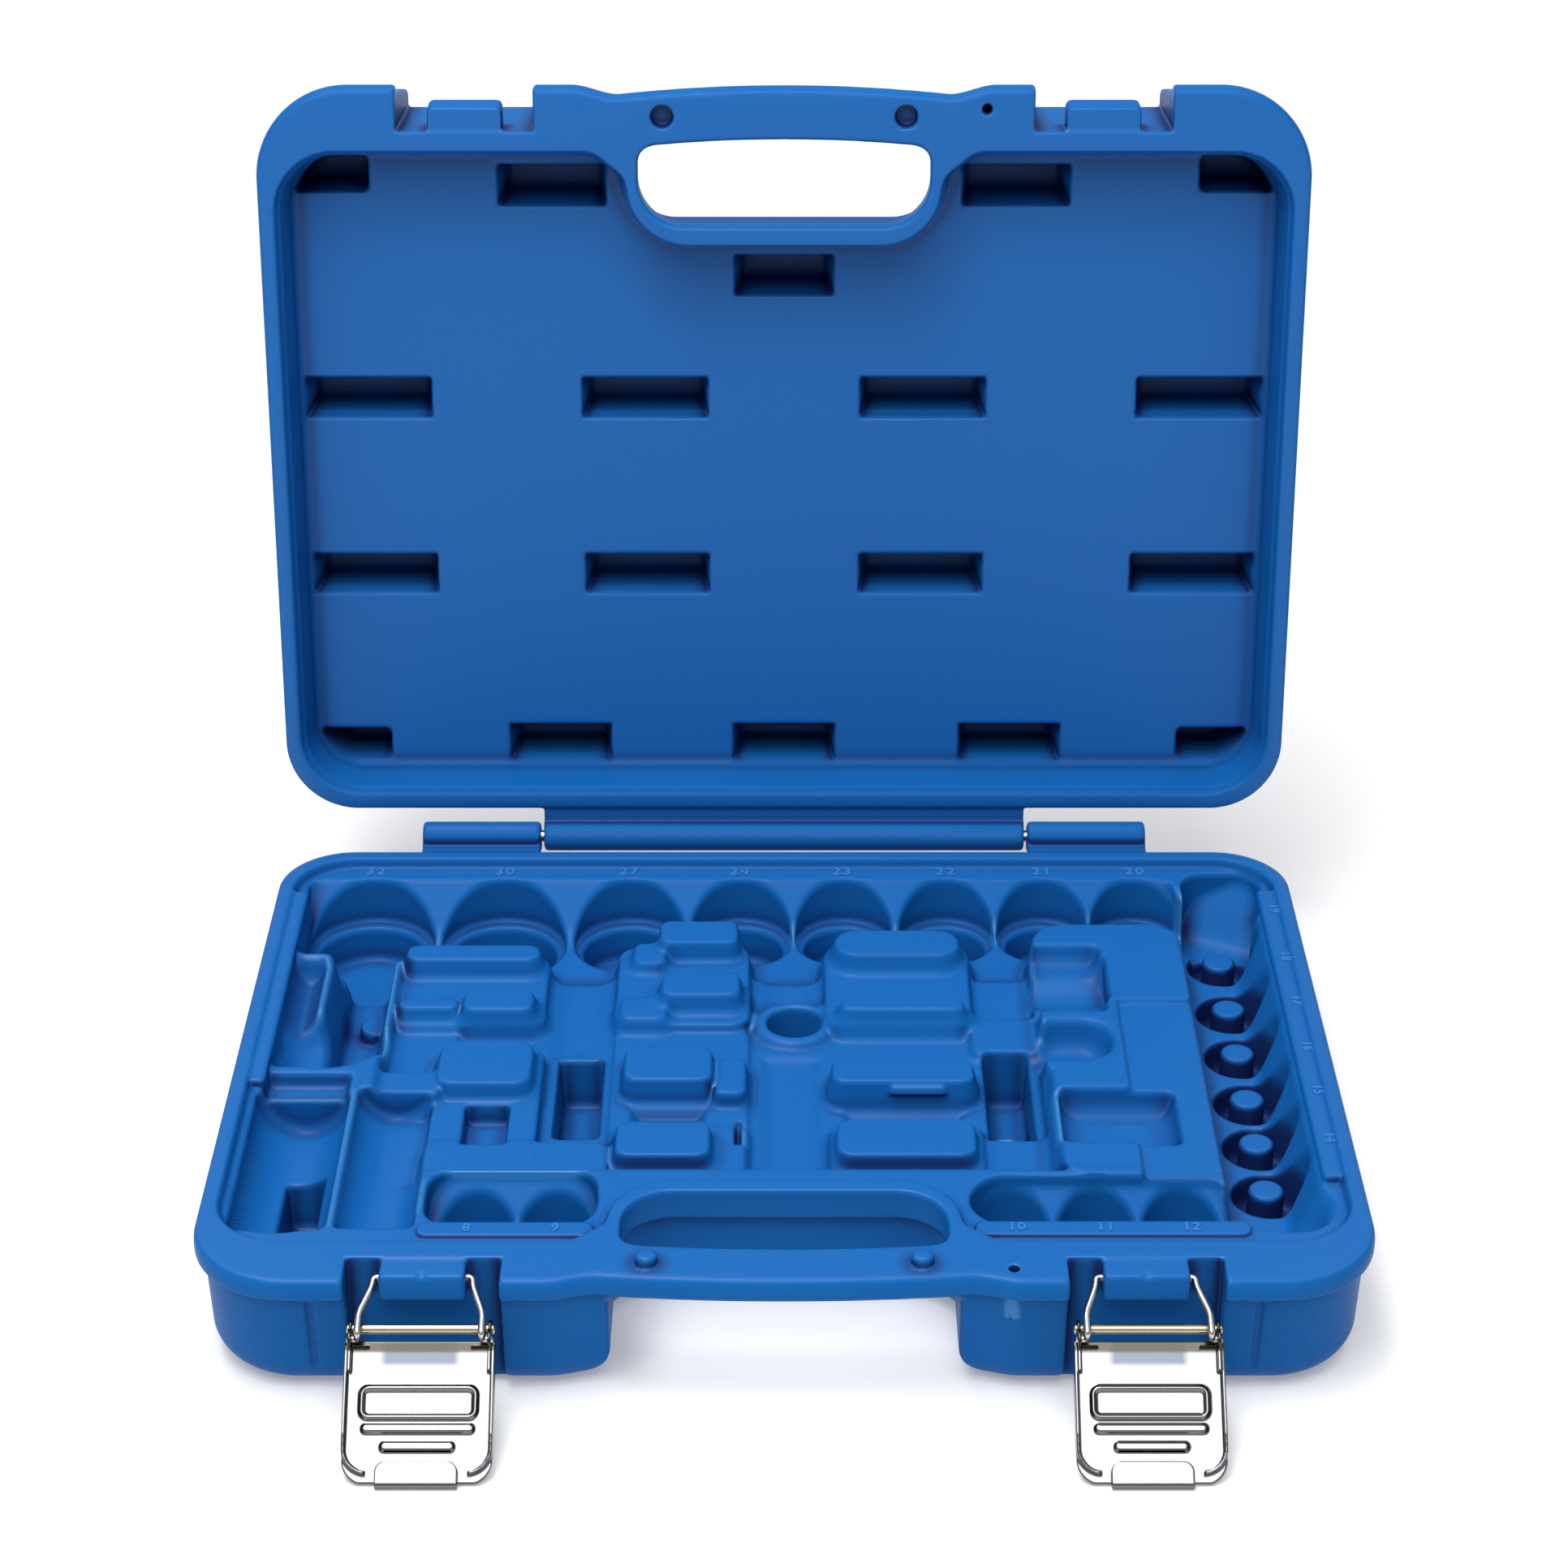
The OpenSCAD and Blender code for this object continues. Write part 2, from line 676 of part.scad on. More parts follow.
module latch_lever(sx) {
    half = lever_half;
    plate_z = -pivot_up - sheet;
    color(steel)
        in_lever(sx)
            difference() {
                union() {
                    // plate with rounded lower corners
                    translate([0, 0, plate_z])
                        linear_extrude(sheet) {
                            plan(-half, half, -fold_u + 2.5, -8, 7);
                            translate([-half, -20]) square([2 * half, 20]);
                            translate([-half + 7, -fold_u]) square([2 * half - 14, 20]);
                        }
                    // side flanges
                    for (s = [-1, 1])
                        translate([s * (half - sheet / 2) - sheet / 2, -fold_u + 9.5, plate_z])
                            cube([sheet, fold_u - 12, flange_h + sheet]);
                    // ears, set in by one sheet
                    for (s = [-1, 1])
                        translate([s * (ear_in + sheet / 2) - sheet / 2, 0, 0])
                            rotate([90, 0, 90]) linear_extrude(sheet) ear();
                    // thumb edge folded back over the plate
                    translate([-half + 9.6, -fold_u, -fold_n])
                        rotate([0, 90, 0]) cylinder(r = fold_r, h = 2 * half - 19.2);
                    translate([-half + 9.6, -fold_u, -fold_n + fold_r - sheet])
                        cube([2 * half - 19.2, 6, sheet]);
                    // beads pressed in the plate
                    bead(13.2, 16, 15.9);
                    bead(23.1, 26.1, 15.8);
                    bead(28.1, 31.3, 10.4);
                }
                // hollow of the fold
                translate([-half, -fold_u, -fold_n])
                    rotate([0, 90, 0]) cylinder(r = fold_r - sheet, h = 2 * half);
                // holes for the bail's ends and seats of the hook pin
                for (s = [-1, 1]) {
                    translate([s * (ear_in + sheet / 2) - sheet, 0, 0])
                        rotate([0, 90, 0]) cylinder(r = bail_r + run, h = 2 * sheet);
                    translate([s * (ear_in + sheet / 2) - sheet, hook_out, -hook_n])
                        rotate([0, 90, 0]) cylinder(r = rivet_r, h = 2 * sheet);
                }
            }
}

module latch_lever_left() {
    latch_lever(-1);
}

module latch_lever_right() {
    latch_lever(1);
}

// shouldered pin, headed over outside the ears
module hook_pin(sx) {
    color(zinc)
        in_lever(sx)
            translate([0, hook_out, -hook_n])
                rotate([0, 90, 0]) {
                    cylinder(r = hook_r, h = 2 * ear_in, center = true);
                    cylinder(r = rivet_r, h = 2 * ear_in + 2 * sheet + 1, center = true);
                    for (s = [-1, 1])
                        translate([0, 0, s * (ear_in + sheet + 0.4)])
                            cylinder(r = hook_r, h = 0.8, center = true);
                }
}

module hook_pin_left() {
    hook_pin(-1);
}

module hook_pin_right() {
    hook_pin(1);
}

base_half();
lid_half();
hinge_pin_left();
hinge_pin_right();
latch_bail_left();
latch_bail_right();
latch_lever_left();
latch_lever_right();
hook_pin_left();
hook_pin_right();
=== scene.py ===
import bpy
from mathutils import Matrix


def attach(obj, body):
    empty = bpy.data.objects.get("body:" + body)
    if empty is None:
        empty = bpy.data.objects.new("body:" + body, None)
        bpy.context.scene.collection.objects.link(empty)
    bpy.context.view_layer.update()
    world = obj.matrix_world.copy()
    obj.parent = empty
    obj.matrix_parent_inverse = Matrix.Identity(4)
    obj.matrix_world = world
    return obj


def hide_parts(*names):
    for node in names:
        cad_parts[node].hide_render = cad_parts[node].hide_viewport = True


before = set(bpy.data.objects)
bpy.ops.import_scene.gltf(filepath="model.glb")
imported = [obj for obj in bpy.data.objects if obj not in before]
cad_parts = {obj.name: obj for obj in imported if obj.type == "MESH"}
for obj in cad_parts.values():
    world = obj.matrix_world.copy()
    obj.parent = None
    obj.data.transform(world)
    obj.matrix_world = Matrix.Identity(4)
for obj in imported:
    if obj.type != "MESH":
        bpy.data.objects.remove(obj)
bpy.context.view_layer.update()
import math
from itertools import product
import bpy
import numpy as np
from mathutils import Matrix, Vector

# Lengths are millimetres up to the calls that make a mesh, which is in metres. A half is carved rim up: its rim is
# at z 0 and its outside below. s is the distance from the hinge axis toward the latches.
MM = 0.001
HALF_CELL = 0.7
LEVER_CELL = 0.22
HALF_W, HALF_D = 170, 123.5
BASE_H, LID_H = 44.0, 48.0
HINGE_Y, HINGE_Z = 133.0, 44.2
AXIS_UP = 0.2                       # from a rim to the hinge axis
OPEN = math.radians(97.47)
FRONT_R, BACK_R = 30.0, 24.0        # corners of the outline
RIM_STEP = 2.5                      # the walls stand in from the rim
PEG_X, PEG_S = 39.1, 247.1
TIE_X, TIE_Y, TIE_R = 64.9, -116.5, 1.6

LATCH_X = 102.3
BAIL_Y, BAIL_Z = -114.5, 39.5
BAIL_LENGTH, BAIL_HANG = 18.6, math.radians(30.7)
PIVOT_Y = BAIL_Y - BAIL_LENGTH * math.cos(BAIL_HANG)
PIVOT_Z = BAIL_Z - BAIL_LENGTH * math.sin(BAIL_HANG)
LEVER_DEG = 41.942913928
LEVER_LEAN = math.radians(LEVER_DEG)
HOOK_Y, HOOK_Z = 3.2, -1.8          # hook pin in the lever's frame


def Y(s):
    return HINGE_Y - s


# ---------------------------------------------------------------- distances
def smin(a, b, k):
    """smaller of two distances, blended over k"""
    if k <= 0:
        return np.minimum(a, b)
    h = np.clip(0.5 + 0.5 * (b - a) / k, 0, 1)
    return b + (a - b) * h - k * h * (1 - h)


def smax(a, b, k):
    return -smin(-a, -b, k)


def rounded(d, e, r):
    """corner of radius r where faces d and e meet"""
    a, b = d + r, e + r
    return np.minimum(np.maximum(a, b), 0) + np.hypot(np.maximum(a, 0), np.maximum(b, 0)) - r


def box2(x, y, x0, x1, y0, y1, r):
    """rectangle with rounded corners"""
    return rounded(np.abs(x - (x0 + x1) / 2) - (x1 - x0) / 2, np.abs(y - (y0 + y1) / 2) - (y1 - y0) / 2, r)


def turn_in(z, h, r):
    """how far a wall turns in near the foot of a half of height h"""
    t = np.clip((-z - (h - r)) / r, 0, 0.999)
    return r - r * np.sqrt(1 - t * t)


def plan(x, y, inset, lean=0.0):
    """distance to the outline of a half; lean moves the front wall back"""
    ax = np.abs(x)
    t = np.clip((ax - 53) / 15, 0, 1)
    bow = np.where(ax < 53, 0.2 + 2.8 * (ax / 53) ** 2, 3 * (1 - t ** 2 * (3 - 2 * t)))
    front = np.clip((-60 - y) / 40, 0, 1)
    yy = y - bow * front - lean * front
    r = np.where(y < 0, FRONT_R, BACK_R) - inset
    return rounded(ax - (HALF_W - inset), np.abs(yy) - (HALF_D - inset), r)


def around(x0, x1, y0, y1, m, z0, z1):
    """box with a margin m at its sides"""
    return (x0 - m, x1 + m), (y0 - m, y1 + m), (z0, z1)


class Field:
    """distance field on a grid, negative inside"""

    def __init__(self, lo, hi, h):
        self.h = h
        self.lo = np.array(lo, float) - 2 * h
        n = [int(math.ceil((b - a) / h)) + 5 for a, b in zip(lo, hi)]
        self.ax = [(self.lo[i] + h * np.arange(n[i])).astype(np.float32) for i in range(3)]
        self.f = np.full(n, 50.0, np.float32)

    def window(self, box):
        """slices of the grid that cover a box, and their coordinates"""
        slices, grid = [], []
        for i, (a, b) in enumerate(box):
            i0 = max(0, int(np.searchsorted(self.ax[i], a)) - 1)
            i1 = min(len(self.ax[i]), int(np.searchsorted(self.ax[i], b)) + 1)
            slices.append(slice(i0, i1))
            shape = [1, 1, 1]
            shape[i] = i1 - i0
            grid.append(self.ax[i][i0:i1].reshape(shape))
        return tuple(slices), grid

    def add(self, box, fn, k=0.0):
        at, grid = self.window(box)
        self.f[at] = smin(self.f[at], fn(*grid), k)

    def cut(self, box, fn, k=0.0):
        at, grid = self.window(box)
        self.f[at] = smax(self.f[at], -fn(*grid), k)

    def mesh(self):
        """points and outward quads of the surface, one point in each cell that it crosses"""
        F, inside = self.f, self.f < 0
        nx, ny, nz = (n - 1 for n in F.shape)
        count = np.zeros((nx, ny, nz), np.uint8)
        for a, b, c in product((0, 1), repeat=3):
            count += inside[a:nx + a, b:ny + b, c:nz + c]
        crossed = (count > 0) & (count < 8)
        cells = np.argwhere(crossed)
        number = np.full(crossed.shape, -1, np.int32)
        number[crossed] = np.arange(len(cells))
        total, hits = np.zeros((len(cells), 3)), np.zeros(len(cells))
        for axis in range(3):
            o1, o2 = [i for i in range(3) if i != axis]
            for a, b in product((0, 1), repeat=2):
                off = np.zeros(3, int)
                off[o1], off[o2] = a, b
                p = cells + off
                q = p.copy()
                q[:, axis] += 1
                f0, f1 = F[tuple(p.T)], F[tuple(q.T)]
                m = (f0 < 0) != (f1 < 0)
                pos = np.tile(off.astype(float), (int(m.sum()), 1))
                pos[:, axis] += f0[m] / (f0[m] - f1[m])
                total[m] += pos
                hits[m] += 1
        V = self.lo + self.h * (cells + total / hits[:, None])
        quads = []
        for axis in range(3):
            o1, o2 = (axis + 1) % 3, (axis + 2) % 3
            s0 = np.take(inside, range(F.shape[axis] - 1), axis)
            s1 = np.take(inside, range(1, F.shape[axis]), axis)
            edges = np.argwhere(s0 != s1)
            inward = ~s0[tuple(edges.T)]
            ring = []
            for a, b in ((0, 0), (1, 0), (1, 1), (0, 1)):
                t = edges.copy()
                t[:, o1] -= a
                t[:, o2] -= b
                ring.append(number[tuple(t.T)])
            q = np.stack(ring, 1)
            q[inward] = q[inward][:, ::-1]
            quads.append(q)
        return V, np.concatenate(quads)

    def at(self, P):
        """field at points; outside the grid it grows with the distance to it"""
        p = (P - self.lo) / self.h
        q = np.clip(p, 0, np.array(self.f.shape) - 1.001).astype(np.float32)
        i = q.astype(np.int32)
        u = q - i
        out = (np.linalg.norm(p - q, axis=1) * self.h).astype(np.float32)
        for a, b, c in product((0, 1), repeat=3):
            w = (u[:, 0] if a else 1 - u[:, 0]) * (u[:, 1] if b else 1 - u[:, 1])
            w = w * (u[:, 2] if c else 1 - u[:, 2])
            out += w * self.f[i[:, 0] + a, i[:, 1] + b, i[:, 2] + c]
        return out

    def relief(self, V):
        """how sunk and how sharp the surface is at each point, 0 to 1, and its normal"""
        P = V.astype(np.float32)
        N = np.zeros_like(P)
        for k in range(3):
            d = np.zeros(3, np.float32)
            d[k] = 0.9 * self.h
            N[:, k] = self.at(P + d) - self.at(P - d)
        N /= np.maximum(np.linalg.norm(N, axis=1), 1e-6)[:, None]
        sunk = np.zeros(len(P), np.float32)
        for d, w in ((1.6, 0.22), (3.5, 0.26), (6.5, 0.28), (11.0, 0.24)):
            sunk += w * np.clip(1 - self.at(P + N * d) / d, 0, 1)
        sharp = np.zeros(len(P), np.float32)
        for d, w in ((1.0, 0.5), (2.0, 0.5)):
            sharp += w * np.clip(1 + self.at(P - N * d) / d, 0, 1)
        return sunk, sharp, N


# ---------------------------------------------------------------- objects
def link(name, mesh):
    o = bpy.data.objects.new(name, mesh)
    bpy.context.scene.collection.objects.link(o)
    return o


def to_object(name, V, Q):
    """smooth mesh object of quads"""
    me = bpy.data.meshes.new(name)
    me.vertices.add(len(V))
    me.vertices.foreach_set("co", (V * MM).astype(np.float32).ravel())
    me.loops.add(Q.size)
    me.loops.foreach_set("vertex_index", Q.astype(np.int32).ravel())
    me.polygons.add(len(Q))
    me.polygons.foreach_set("loop_start", np.arange(0, Q.size, 4, dtype=np.int32))
    me.polygons.foreach_set("use_smooth", np.full(len(Q), True))
    me.update(calc_edges=True)
    me.validate()
    return link(name, me)


def shade(o, sunk, sharp, N):
    """keep the relief on the mesh for its material, which paints shade in hollows and highlights on sharp edges from
    it
    """
    for name, v in (("sunk", sunk), ("sharp", sharp), ("steep", np.hypot(N[:, 0], N[:, 1]))):
        o.data.attributes.new(name, "FLOAT", "POINT").data.foreach_set("value", v.astype(np.float32))


def skin(o, uvw):
    """coordinates along the surface, kept for its material"""
    a = o.data.attributes.new("skin", "FLOAT_VECTOR", "POINT")
    a.data.foreach_set("vector", np.ascontiguousarray(uvw, np.float32).ravel())


def grained(V, N, h):
    """arc length, height and mask of the grained front corners of a half"""
    cx, cy, r = HALF_W - FRONT_R, FRONT_R - HALF_D, 28
    x, y, z = np.abs(V[:, 0]), V[:, 1], V[:, 2]
    ang = np.arctan2(np.maximum(x - cx, 0), np.maximum(cy - y, 1e-6))
    u = np.where(x < cx, x, np.where(y < cy, cx + r * ang, cx + 44 + y - cy))
    m = (x > 136.4) & (y < -70) & (z < -8.2) & (z > -h + 5.5)
    m &= (np.abs(N[:, 0]) + np.abs(N[:, 1])) > 0.8
    m &= plan(V[:, 0], y, RIM_STEP) > -9.0
    return np.stack([u, z, m.astype(float)], 1)


def dress(o, mat, body, node=None):
    """material and body of a piece, and the CAD node it stands for"""
    o.data.materials.append(mat)
    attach(o, body)
    if node:
        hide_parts(node)


# ---------------------------------------------------------------- the two halves
class Half:
    """one half as it comes from the mould; k blends a form into the rest, kf rounds its floor, t leans its walls"""

    def __init__(self, h, edge):
        self.h, self.edge = h, edge
        self.F = Field((-HALF_W, -HALF_D, -h), (HALF_W, 138, 5.2), HALF_CELL)

    def pocket(self, x0, x1, s0, s1, d, r=3.0, t=0.10, k=1.6, kf=3.0, within=False):
        """upright pocket of depth d; within keeps it inside the inner wall"""
        y0, y1 = Y(s1), Y(s0)

        def fn(x, y, z):
            side = box2(x, y, x0, x1, y0, y1, r)
            if within:
                side = smax(side, box2(x, y, -163.4, 163.4, Y(234.7), Y(16.8), 19) + 2.0, 1.0)
            return smax(side + t * np.maximum(-z, 0), -d - z, kf)
        self.F.cut(around(x0, x1, y0, y1, max(4.0, k + 2.0), -d - 4, 6), fn, k)

    def well(self, x0, s, r, d, t=0.05, k=1.6, kf=3.0):
        """round pocket"""
        y0 = Y(s)

        def fn(x, y, z):
            return smax(np.hypot(x - x0, y - y0) - r + t * np.maximum(-z, 0), -d - z, kf)
        self.F.cut(around(x0, x0, y0, y0, r + max(4.0, k + 2.0), -d - 4, 6), fn, k)

    def block(self, x0, x1, s0, s1, top, r=3.0, t=0.10, k=2.0, kt=1.1, low=-34.0):
        """rest block, its upper edge rounded by kt"""
        y0, y1 = Y(s1), Y(s0)

        def fn(x, y, z):
            side = box2(x, y, x0, x1, y0, y1, r) + t * (z - top)
            return smax(smax(side, z - top, kt), low - z, 1)
        self.F.add(around(x0, x1, y0, y1, 6, low - 1, top + 5), fn, 0.7 * k)

    def ramp(self, xr, sr, plane, floor, r=4.0, k=1.6, kf=4.0):
        """cut away what lies over a leaning plane"""
        (x0, x1), (y1, y0) = xr, map(Y, sr)

        def fn(x, y, z):
            side = box2(x, y, x0, x1, y0, y1, r)
            return smax(smax(side, 0.75 * (plane(x, Y(y)) - z), 1.5), floor - z, kf)
        self.F.cut(around(x0, x1, y0, y1, max(4.0, k + 2.0), floor - 4, 6), fn, k)

    def stud(self, x0, s, r, z0, z1, k=2.0, kt=1.5):
        y0 = Y(s)

        def fn(x, y, z):
            return smax(smax(np.hypot(x - x0, y - y0) - r, z - z1, kt), z0 - z, 0.5)
        self.F.add(around(x0, x0, y0, y0, r + 5, z0 - 2, z1 + 4), fn, k)

    def trough(self, start, end, across, zc, r, k=1.6, along="x", ends=2.0):
        """half round groove; along y it runs from s start to s end at x across"""
        lo, hi, mid = (start, end, Y(across)) if along == "x" else (Y(end), Y(start), across)

        def fn(x, y, z):
            run, side = (x, y) if along == "x" else (y, x)
            tube = np.hypot(side - mid, z - zc) - r
            return smax(np.where(z > zc, np.abs(side - mid) - r, tube), np.maximum(lo - run, run - hi), ends)
        m = 5
        spans = (lo - m, hi + m), (mid - r - m, mid + r + m)
        self.F.cut((*(spans if along == "x" else spans[::-1]), (zc - r - m, 6)), fn, k)

    def wall(self, x, y, z, inset):
        """outer wall, with its draft and its leaning front"""
        return plan(x, y, inset, lean=5.0 * np.clip(-z / self.h, 0, 1)) + 0.02 * np.maximum(-z - 6, 0)

    def shell(self, recess_s):
        h, edge, F = self.h, self.edge, self.F
        full = ((-180, 180), (-130, 130), (-h - 3, 6))

        def body(x, y, z):
            return np.maximum(rounded(self.wall(x, y, z, RIM_STEP), -h - z, edge), z)

        def skirt(x, y, z):
            """rim that stands out from the walls"""
            side = plan(x, y, 0.0) + 0.8 * np.clip((z + 3.2) / 3.2, 0, 1) ** 2
            return smax(smax(side, z, 0.8), -6.5 - z, 1.0)
        F.add(full, body)
        F.add(full, skirt, 0.8)

        def under(x, y, z):
            """space under the grip, its sides rounded toward the underside"""
            side = box2(x, y, -50, 50, -160, -74.6, 14) - turn_in(z, h, 14.0)
            return smax(side, z + 10.0, 2.5)
        F.cut(((-75, 75), (-130, -50), (-h - 3, -6)), under, 2.0)

        def hand_hole(x, y, z):
            front = Y(239.7) + 2.4 * np.clip(np.abs(x) / 47, 0, 1) ** 2
            side = box2(x, y, -47, 47, Y(246), Y(211.7), 15) - 0.03 * np.abs(z)
            return smax(side, front - y, 4.0)
        F.cut(((-60, 60), (-115, -66), (-h - 3, 6)), hand_hole, 1.4)

        for lx in (-LATCH_X, LATCH_X):
            def recess(x, y, z, lx=lx):
                g = turn_in(z, h, 5.0)
                return np.maximum(np.abs(x - lx) - 22 - g, y - Y(recess_s) - g)
            F.cut(((lx - 30, lx + 30), (-130, -100), (-h - 3, 6)), recess, 1.0)
        for gx in (-134.6, 134.6):
            def groove(x, y, z, gx=gx):
                """upright groove beside a grained corner"""
                run = np.abs(z + h / 2 + 2) - h / 2 + 7
                return smax(smax(np.abs(x - gx) - 0.9, run, 1), -self.wall(x, y, z, 3.3), 0.3)
            F.cut(((gx - 4, gx + 4), (-126, -105), (-h + 6, -6.5)), groove, 0.8)

    def inner(self, d, k=1.2, kf=3.0, t=0.12, side=0.0):
        """inside of the inner wall: a rounded rectangle that runs round the hand hole"""
        def fn(x, y, z):
            a = box2(x, y, -164.5, 164.5, Y(235.8), Y(15.7), 20) + side
            island = box2(x, y, -51, 51, Y(300), Y(205), 20)
            island = smin(island, box2(x, y, -56, 56, Y(300), Y(232), 3), 10)
            return smax(smax(a, -island, 9.0) + t * np.maximum(-z, 0), -d - z, kf)
        self.F.cut(((-170, 170), (-108, 122), (-d - 4, 6)), fn, k)

    def barrel(self, a, b):
        """hinge barrel from x a to x b, and the web that carries it"""
        def tube(x, y, z):
            return smax(np.hypot(y - HINGE_Y, z - AXIS_UP) - 5.0, np.maximum(a - x, x - b), 1.5)

        def web(x, y, z):
            side = np.maximum(np.maximum(a - x, x - b), np.maximum(119 - y, y - HINGE_Y))
            return smax(side, np.maximum(-5 + AXIS_UP - z, z + 0.8), 0.6)
        self.F.add(((a - 3, b + 3), (124, 140), (-7, 7)), tube, 0.3)
        self.F.add(((a - 3, b + 3), (117, 136), (-8, 2)), web, 0.8)

    def tie_hole(self):
        self.F.cut(((60, 70), (-120, -112), (-15, 3)), lambda x, y, z: np.hypot(x - TIE_X, y - TIE_Y) - TIE_R, 0.4)


def carve_base():
    H = Half(BASE_H, 11.0)
    block, pocket, well = H.block, H.pocket, H.well
    H.shell(244.5)
    H.inner(3.0, k=1.0, kf=1.2, t=0.35)
    # big sockets at the back: a slope cut by upright cylinders, with a narrower well below
    H.ramp((-160, 131), (25.0, 72), lambda x, s: -3 - 0.82 * (s - 25.0), -16.5, r=5)
    for x, r in ((-138, 21.6), (-94, 21.4), (-51.5, 19.2), (-14.5, 17.6),
                 (20, 16.8), (54.5, 16.4), (87, 16.0), (118, 15.8)):
        well(x, 24.2 + r, r, 19, t=0.03, k=1.4, kf=2.0)
        well(x, 26.4 + r, r - 3.0, 31, t=0.03, k=1.8, kf=3.0)
    # middle basin
    pocket(-127, 131, 60, 196, 13.5, r=4, t=0.3, k=2.0, kf=3)
    pocket(-78, -54, 62, 124, 15, r=4, t=0.3, k=3, kf=6)
    pocket(-11, 14, 62, 112, 15, r=4, t=0.3, k=3, kf=6)
    pocket(59, 82, 62, 124, 13, r=4, t=0.3, k=3, kf=6)
    # rests left of the left slot
    block(-126, -77, 66, 107, -9.5, r=5, t=0.25, k=3)
    block(-123, -80, 67, 76.5, -3.0, r=4, t=0.35, k=4)
    block(-123, -104.5, 98, 103.5, -4.5, r=2, t=0.4, k=4)
    block(-102, -80.5, 94, 106, -3.5, r=3, t=0.4, k=4)
    block(-124, -104, 106, 134, -12.0, r=6, t=0.5, k=5)
    block(-107, -78.5, 125, 149.5, -3.0, r=5, t=0.3, k=4)
    block(-108, -75.5, 121, 196, -8.5, r=5, t=0.2, k=3)
    block(-108, -53, 174, 196, -8.0, r=4, t=0.3, k=3)
    block(-133, -106, 140, 152.5, -5.0, r=3, t=0.25, k=3)
    pocket(-98.5, -83.5, 153, 176, 15, r=2, t=0.08, k=1.2, kf=2)
    # rests between the left slot and the middle channel
    block(-54, -11.5, 58, 106, -9.5, r=6, t=0.25, k=3)
    block(-53.5, -11.5, 104, 196, -12.2, r=5, t=0.2, k=3)
    block(-40.5, -15.5, 51.5, 65.5, -3.0, r=3, t=0.3, k=3)
    block(-49, -39, 61, 74, -6.0, r=3, t=0.35, k=4)
    block(-39, -14.5, 84, 98, -3.0, r=3, t=0.35, k=4)
    block(-52, -38, 93, 106, -7.0, r=3, t=0.4, k=4)
    block(-49.5, -22.5, 127, 146, -4.0, r=4, t=0.2, k=3)
    block(-21.5, -12, 129, 149, -7.0, r=3, t=0.2, k=3)
    pocket(-49, -22.5, 148, 158, 15.5, r=3, t=0.2, k=3, kf=4)
    block(-50.5, -22.5, 169, 187, -4.0, r=4, t=0.25, k=3)
    block(-51.5, -12, 163, 196, -9.5, r=3, t=0.3, k=4)
    pocket(-16, -12, 156, 174, 14, r=1.5, t=0.1, k=1.2, kf=2)
    # middle channel and the round seat behind it
    pocket(-8.5, 12.5, 118, 192.5, 14.5, r=3, t=0.1, k=2, kf=4)
    pocket(-7, 11, 182, 192, 17, r=2, t=0.1, k=2, kf=3)
    H.stud(3.3, 101, 12.4, -20, -11.5, k=4, kt=2.5)
    well(3.3, 101, 9.4, 34, k=1.6)
    # rests between the middle channel and the right slot
    block(13.5, 60, 58, 107, -9.5, r=7, t=0.3, k=3)
    block(17, 57, 57.5, 73.5, -3.0, r=7, t=0.4, k=4)
    block(18.5, 57, 99, 105, -4.0, r=2.5, t=0.5, k=4)
    block(15, 58.5, 134, 147, -4.0, r=4, t=0.25, k=3)
    pocket(17, 57, 149, 160, 15.5, r=3, t=0.2, k=3, kf=4)
    block(16, 57.5, 167.5, 187, -4.0, r=5, t=0.25, k=3)
    block(14.5, 60, 163, 196, -9.5, r=3, t=0.3, k=4)
    block(33, 49.5, 146.5, 148.8, -5.2, r=1.0, t=0.3, k=0.8, kt=0.8, low=-8)
    # right group: one broad block with bays in it
    block(81.5, 131, 53.5, 198.5, -3.0, r=12, t=0.18, k=3)
    pocket(104.5, 134, 99, 203, 4.6, r=2, t=0.5, k=1.0, kf=1.0)
    pocket(78, 104, 66.5, 108, 9.5, r=4, t=0.25, k=2.0, kf=5)
    H.trough(76, 104, 87.5, 0.5, 13.0, k=2.0)
    pocket(76, 104, 112, 136, 13.0, r=11, t=0.25, k=2.5, kf=5)
    pocket(83.5, 120, 151.5, 181, 12.0, r=3, t=0.12, k=1.8, kf=6)
    pocket(76, 84, 140, 196, 9.5, r=3, t=0.4, k=3, kf=5)
    block(60, 80, 100, 121, -11.0, r=4, t=0.4, k=5)
    block(60, 82, 168, 196, -12.0, r=3, t=0.4, k=4)
    # deep slots, each with a ring on its floor
    pocket(-71.5, -56, 119, 165, 31, r=3, t=0.05, k=1.6)
    pocket(62, 77.5, 119, 167, 31, r=3, t=0.05, k=1.6)
    for x, s in ((-62.5, 151), (69, 150)):
        H.stud(x, s, 6.6, -33, -27.5, k=0.8, kt=1.0)
        well(x, s, 5.4, 28.4, t=0, k=0.5, kf=0.5)
    # left side: the head of the ratchet, its channel and two long troughs
    pocket(-161, -147, 74, 140, 11, r=5, t=0.35, k=3, kf=5)
    pocket(-148, -125.5, 32, 134, 27, r=6, t=0.22, k=2.5, kf=3)
    well(-142.5, 122, 18.5, 15, t=0.35, k=3, kf=6)
    pocket(-160, -150, 38, 62, 14, r=4, t=0.6, k=3, kf=5)
    H.stud(-132.5, 86, 5.6, -30, -22.5, k=1.0, kt=1.2)
    pocket(-161, -132.5, 143, 155, 7.5, r=3, t=0.3, k=1.5, kf=2)
    H.trough(153, 226, -147, -4.0, 14.2, k=1.6, along="y", ends=4)
    pocket(-161.5, -133, 190, 228, 12, r=13, t=0.3, k=2, kf=6)
    pocket(-150.5, -137, 182, 214, 33, r=3, t=0.05, k=1.5)
    H.trough(152, 225, -119, -2.5, 11.6, k=1.6, along="y", ends=3)
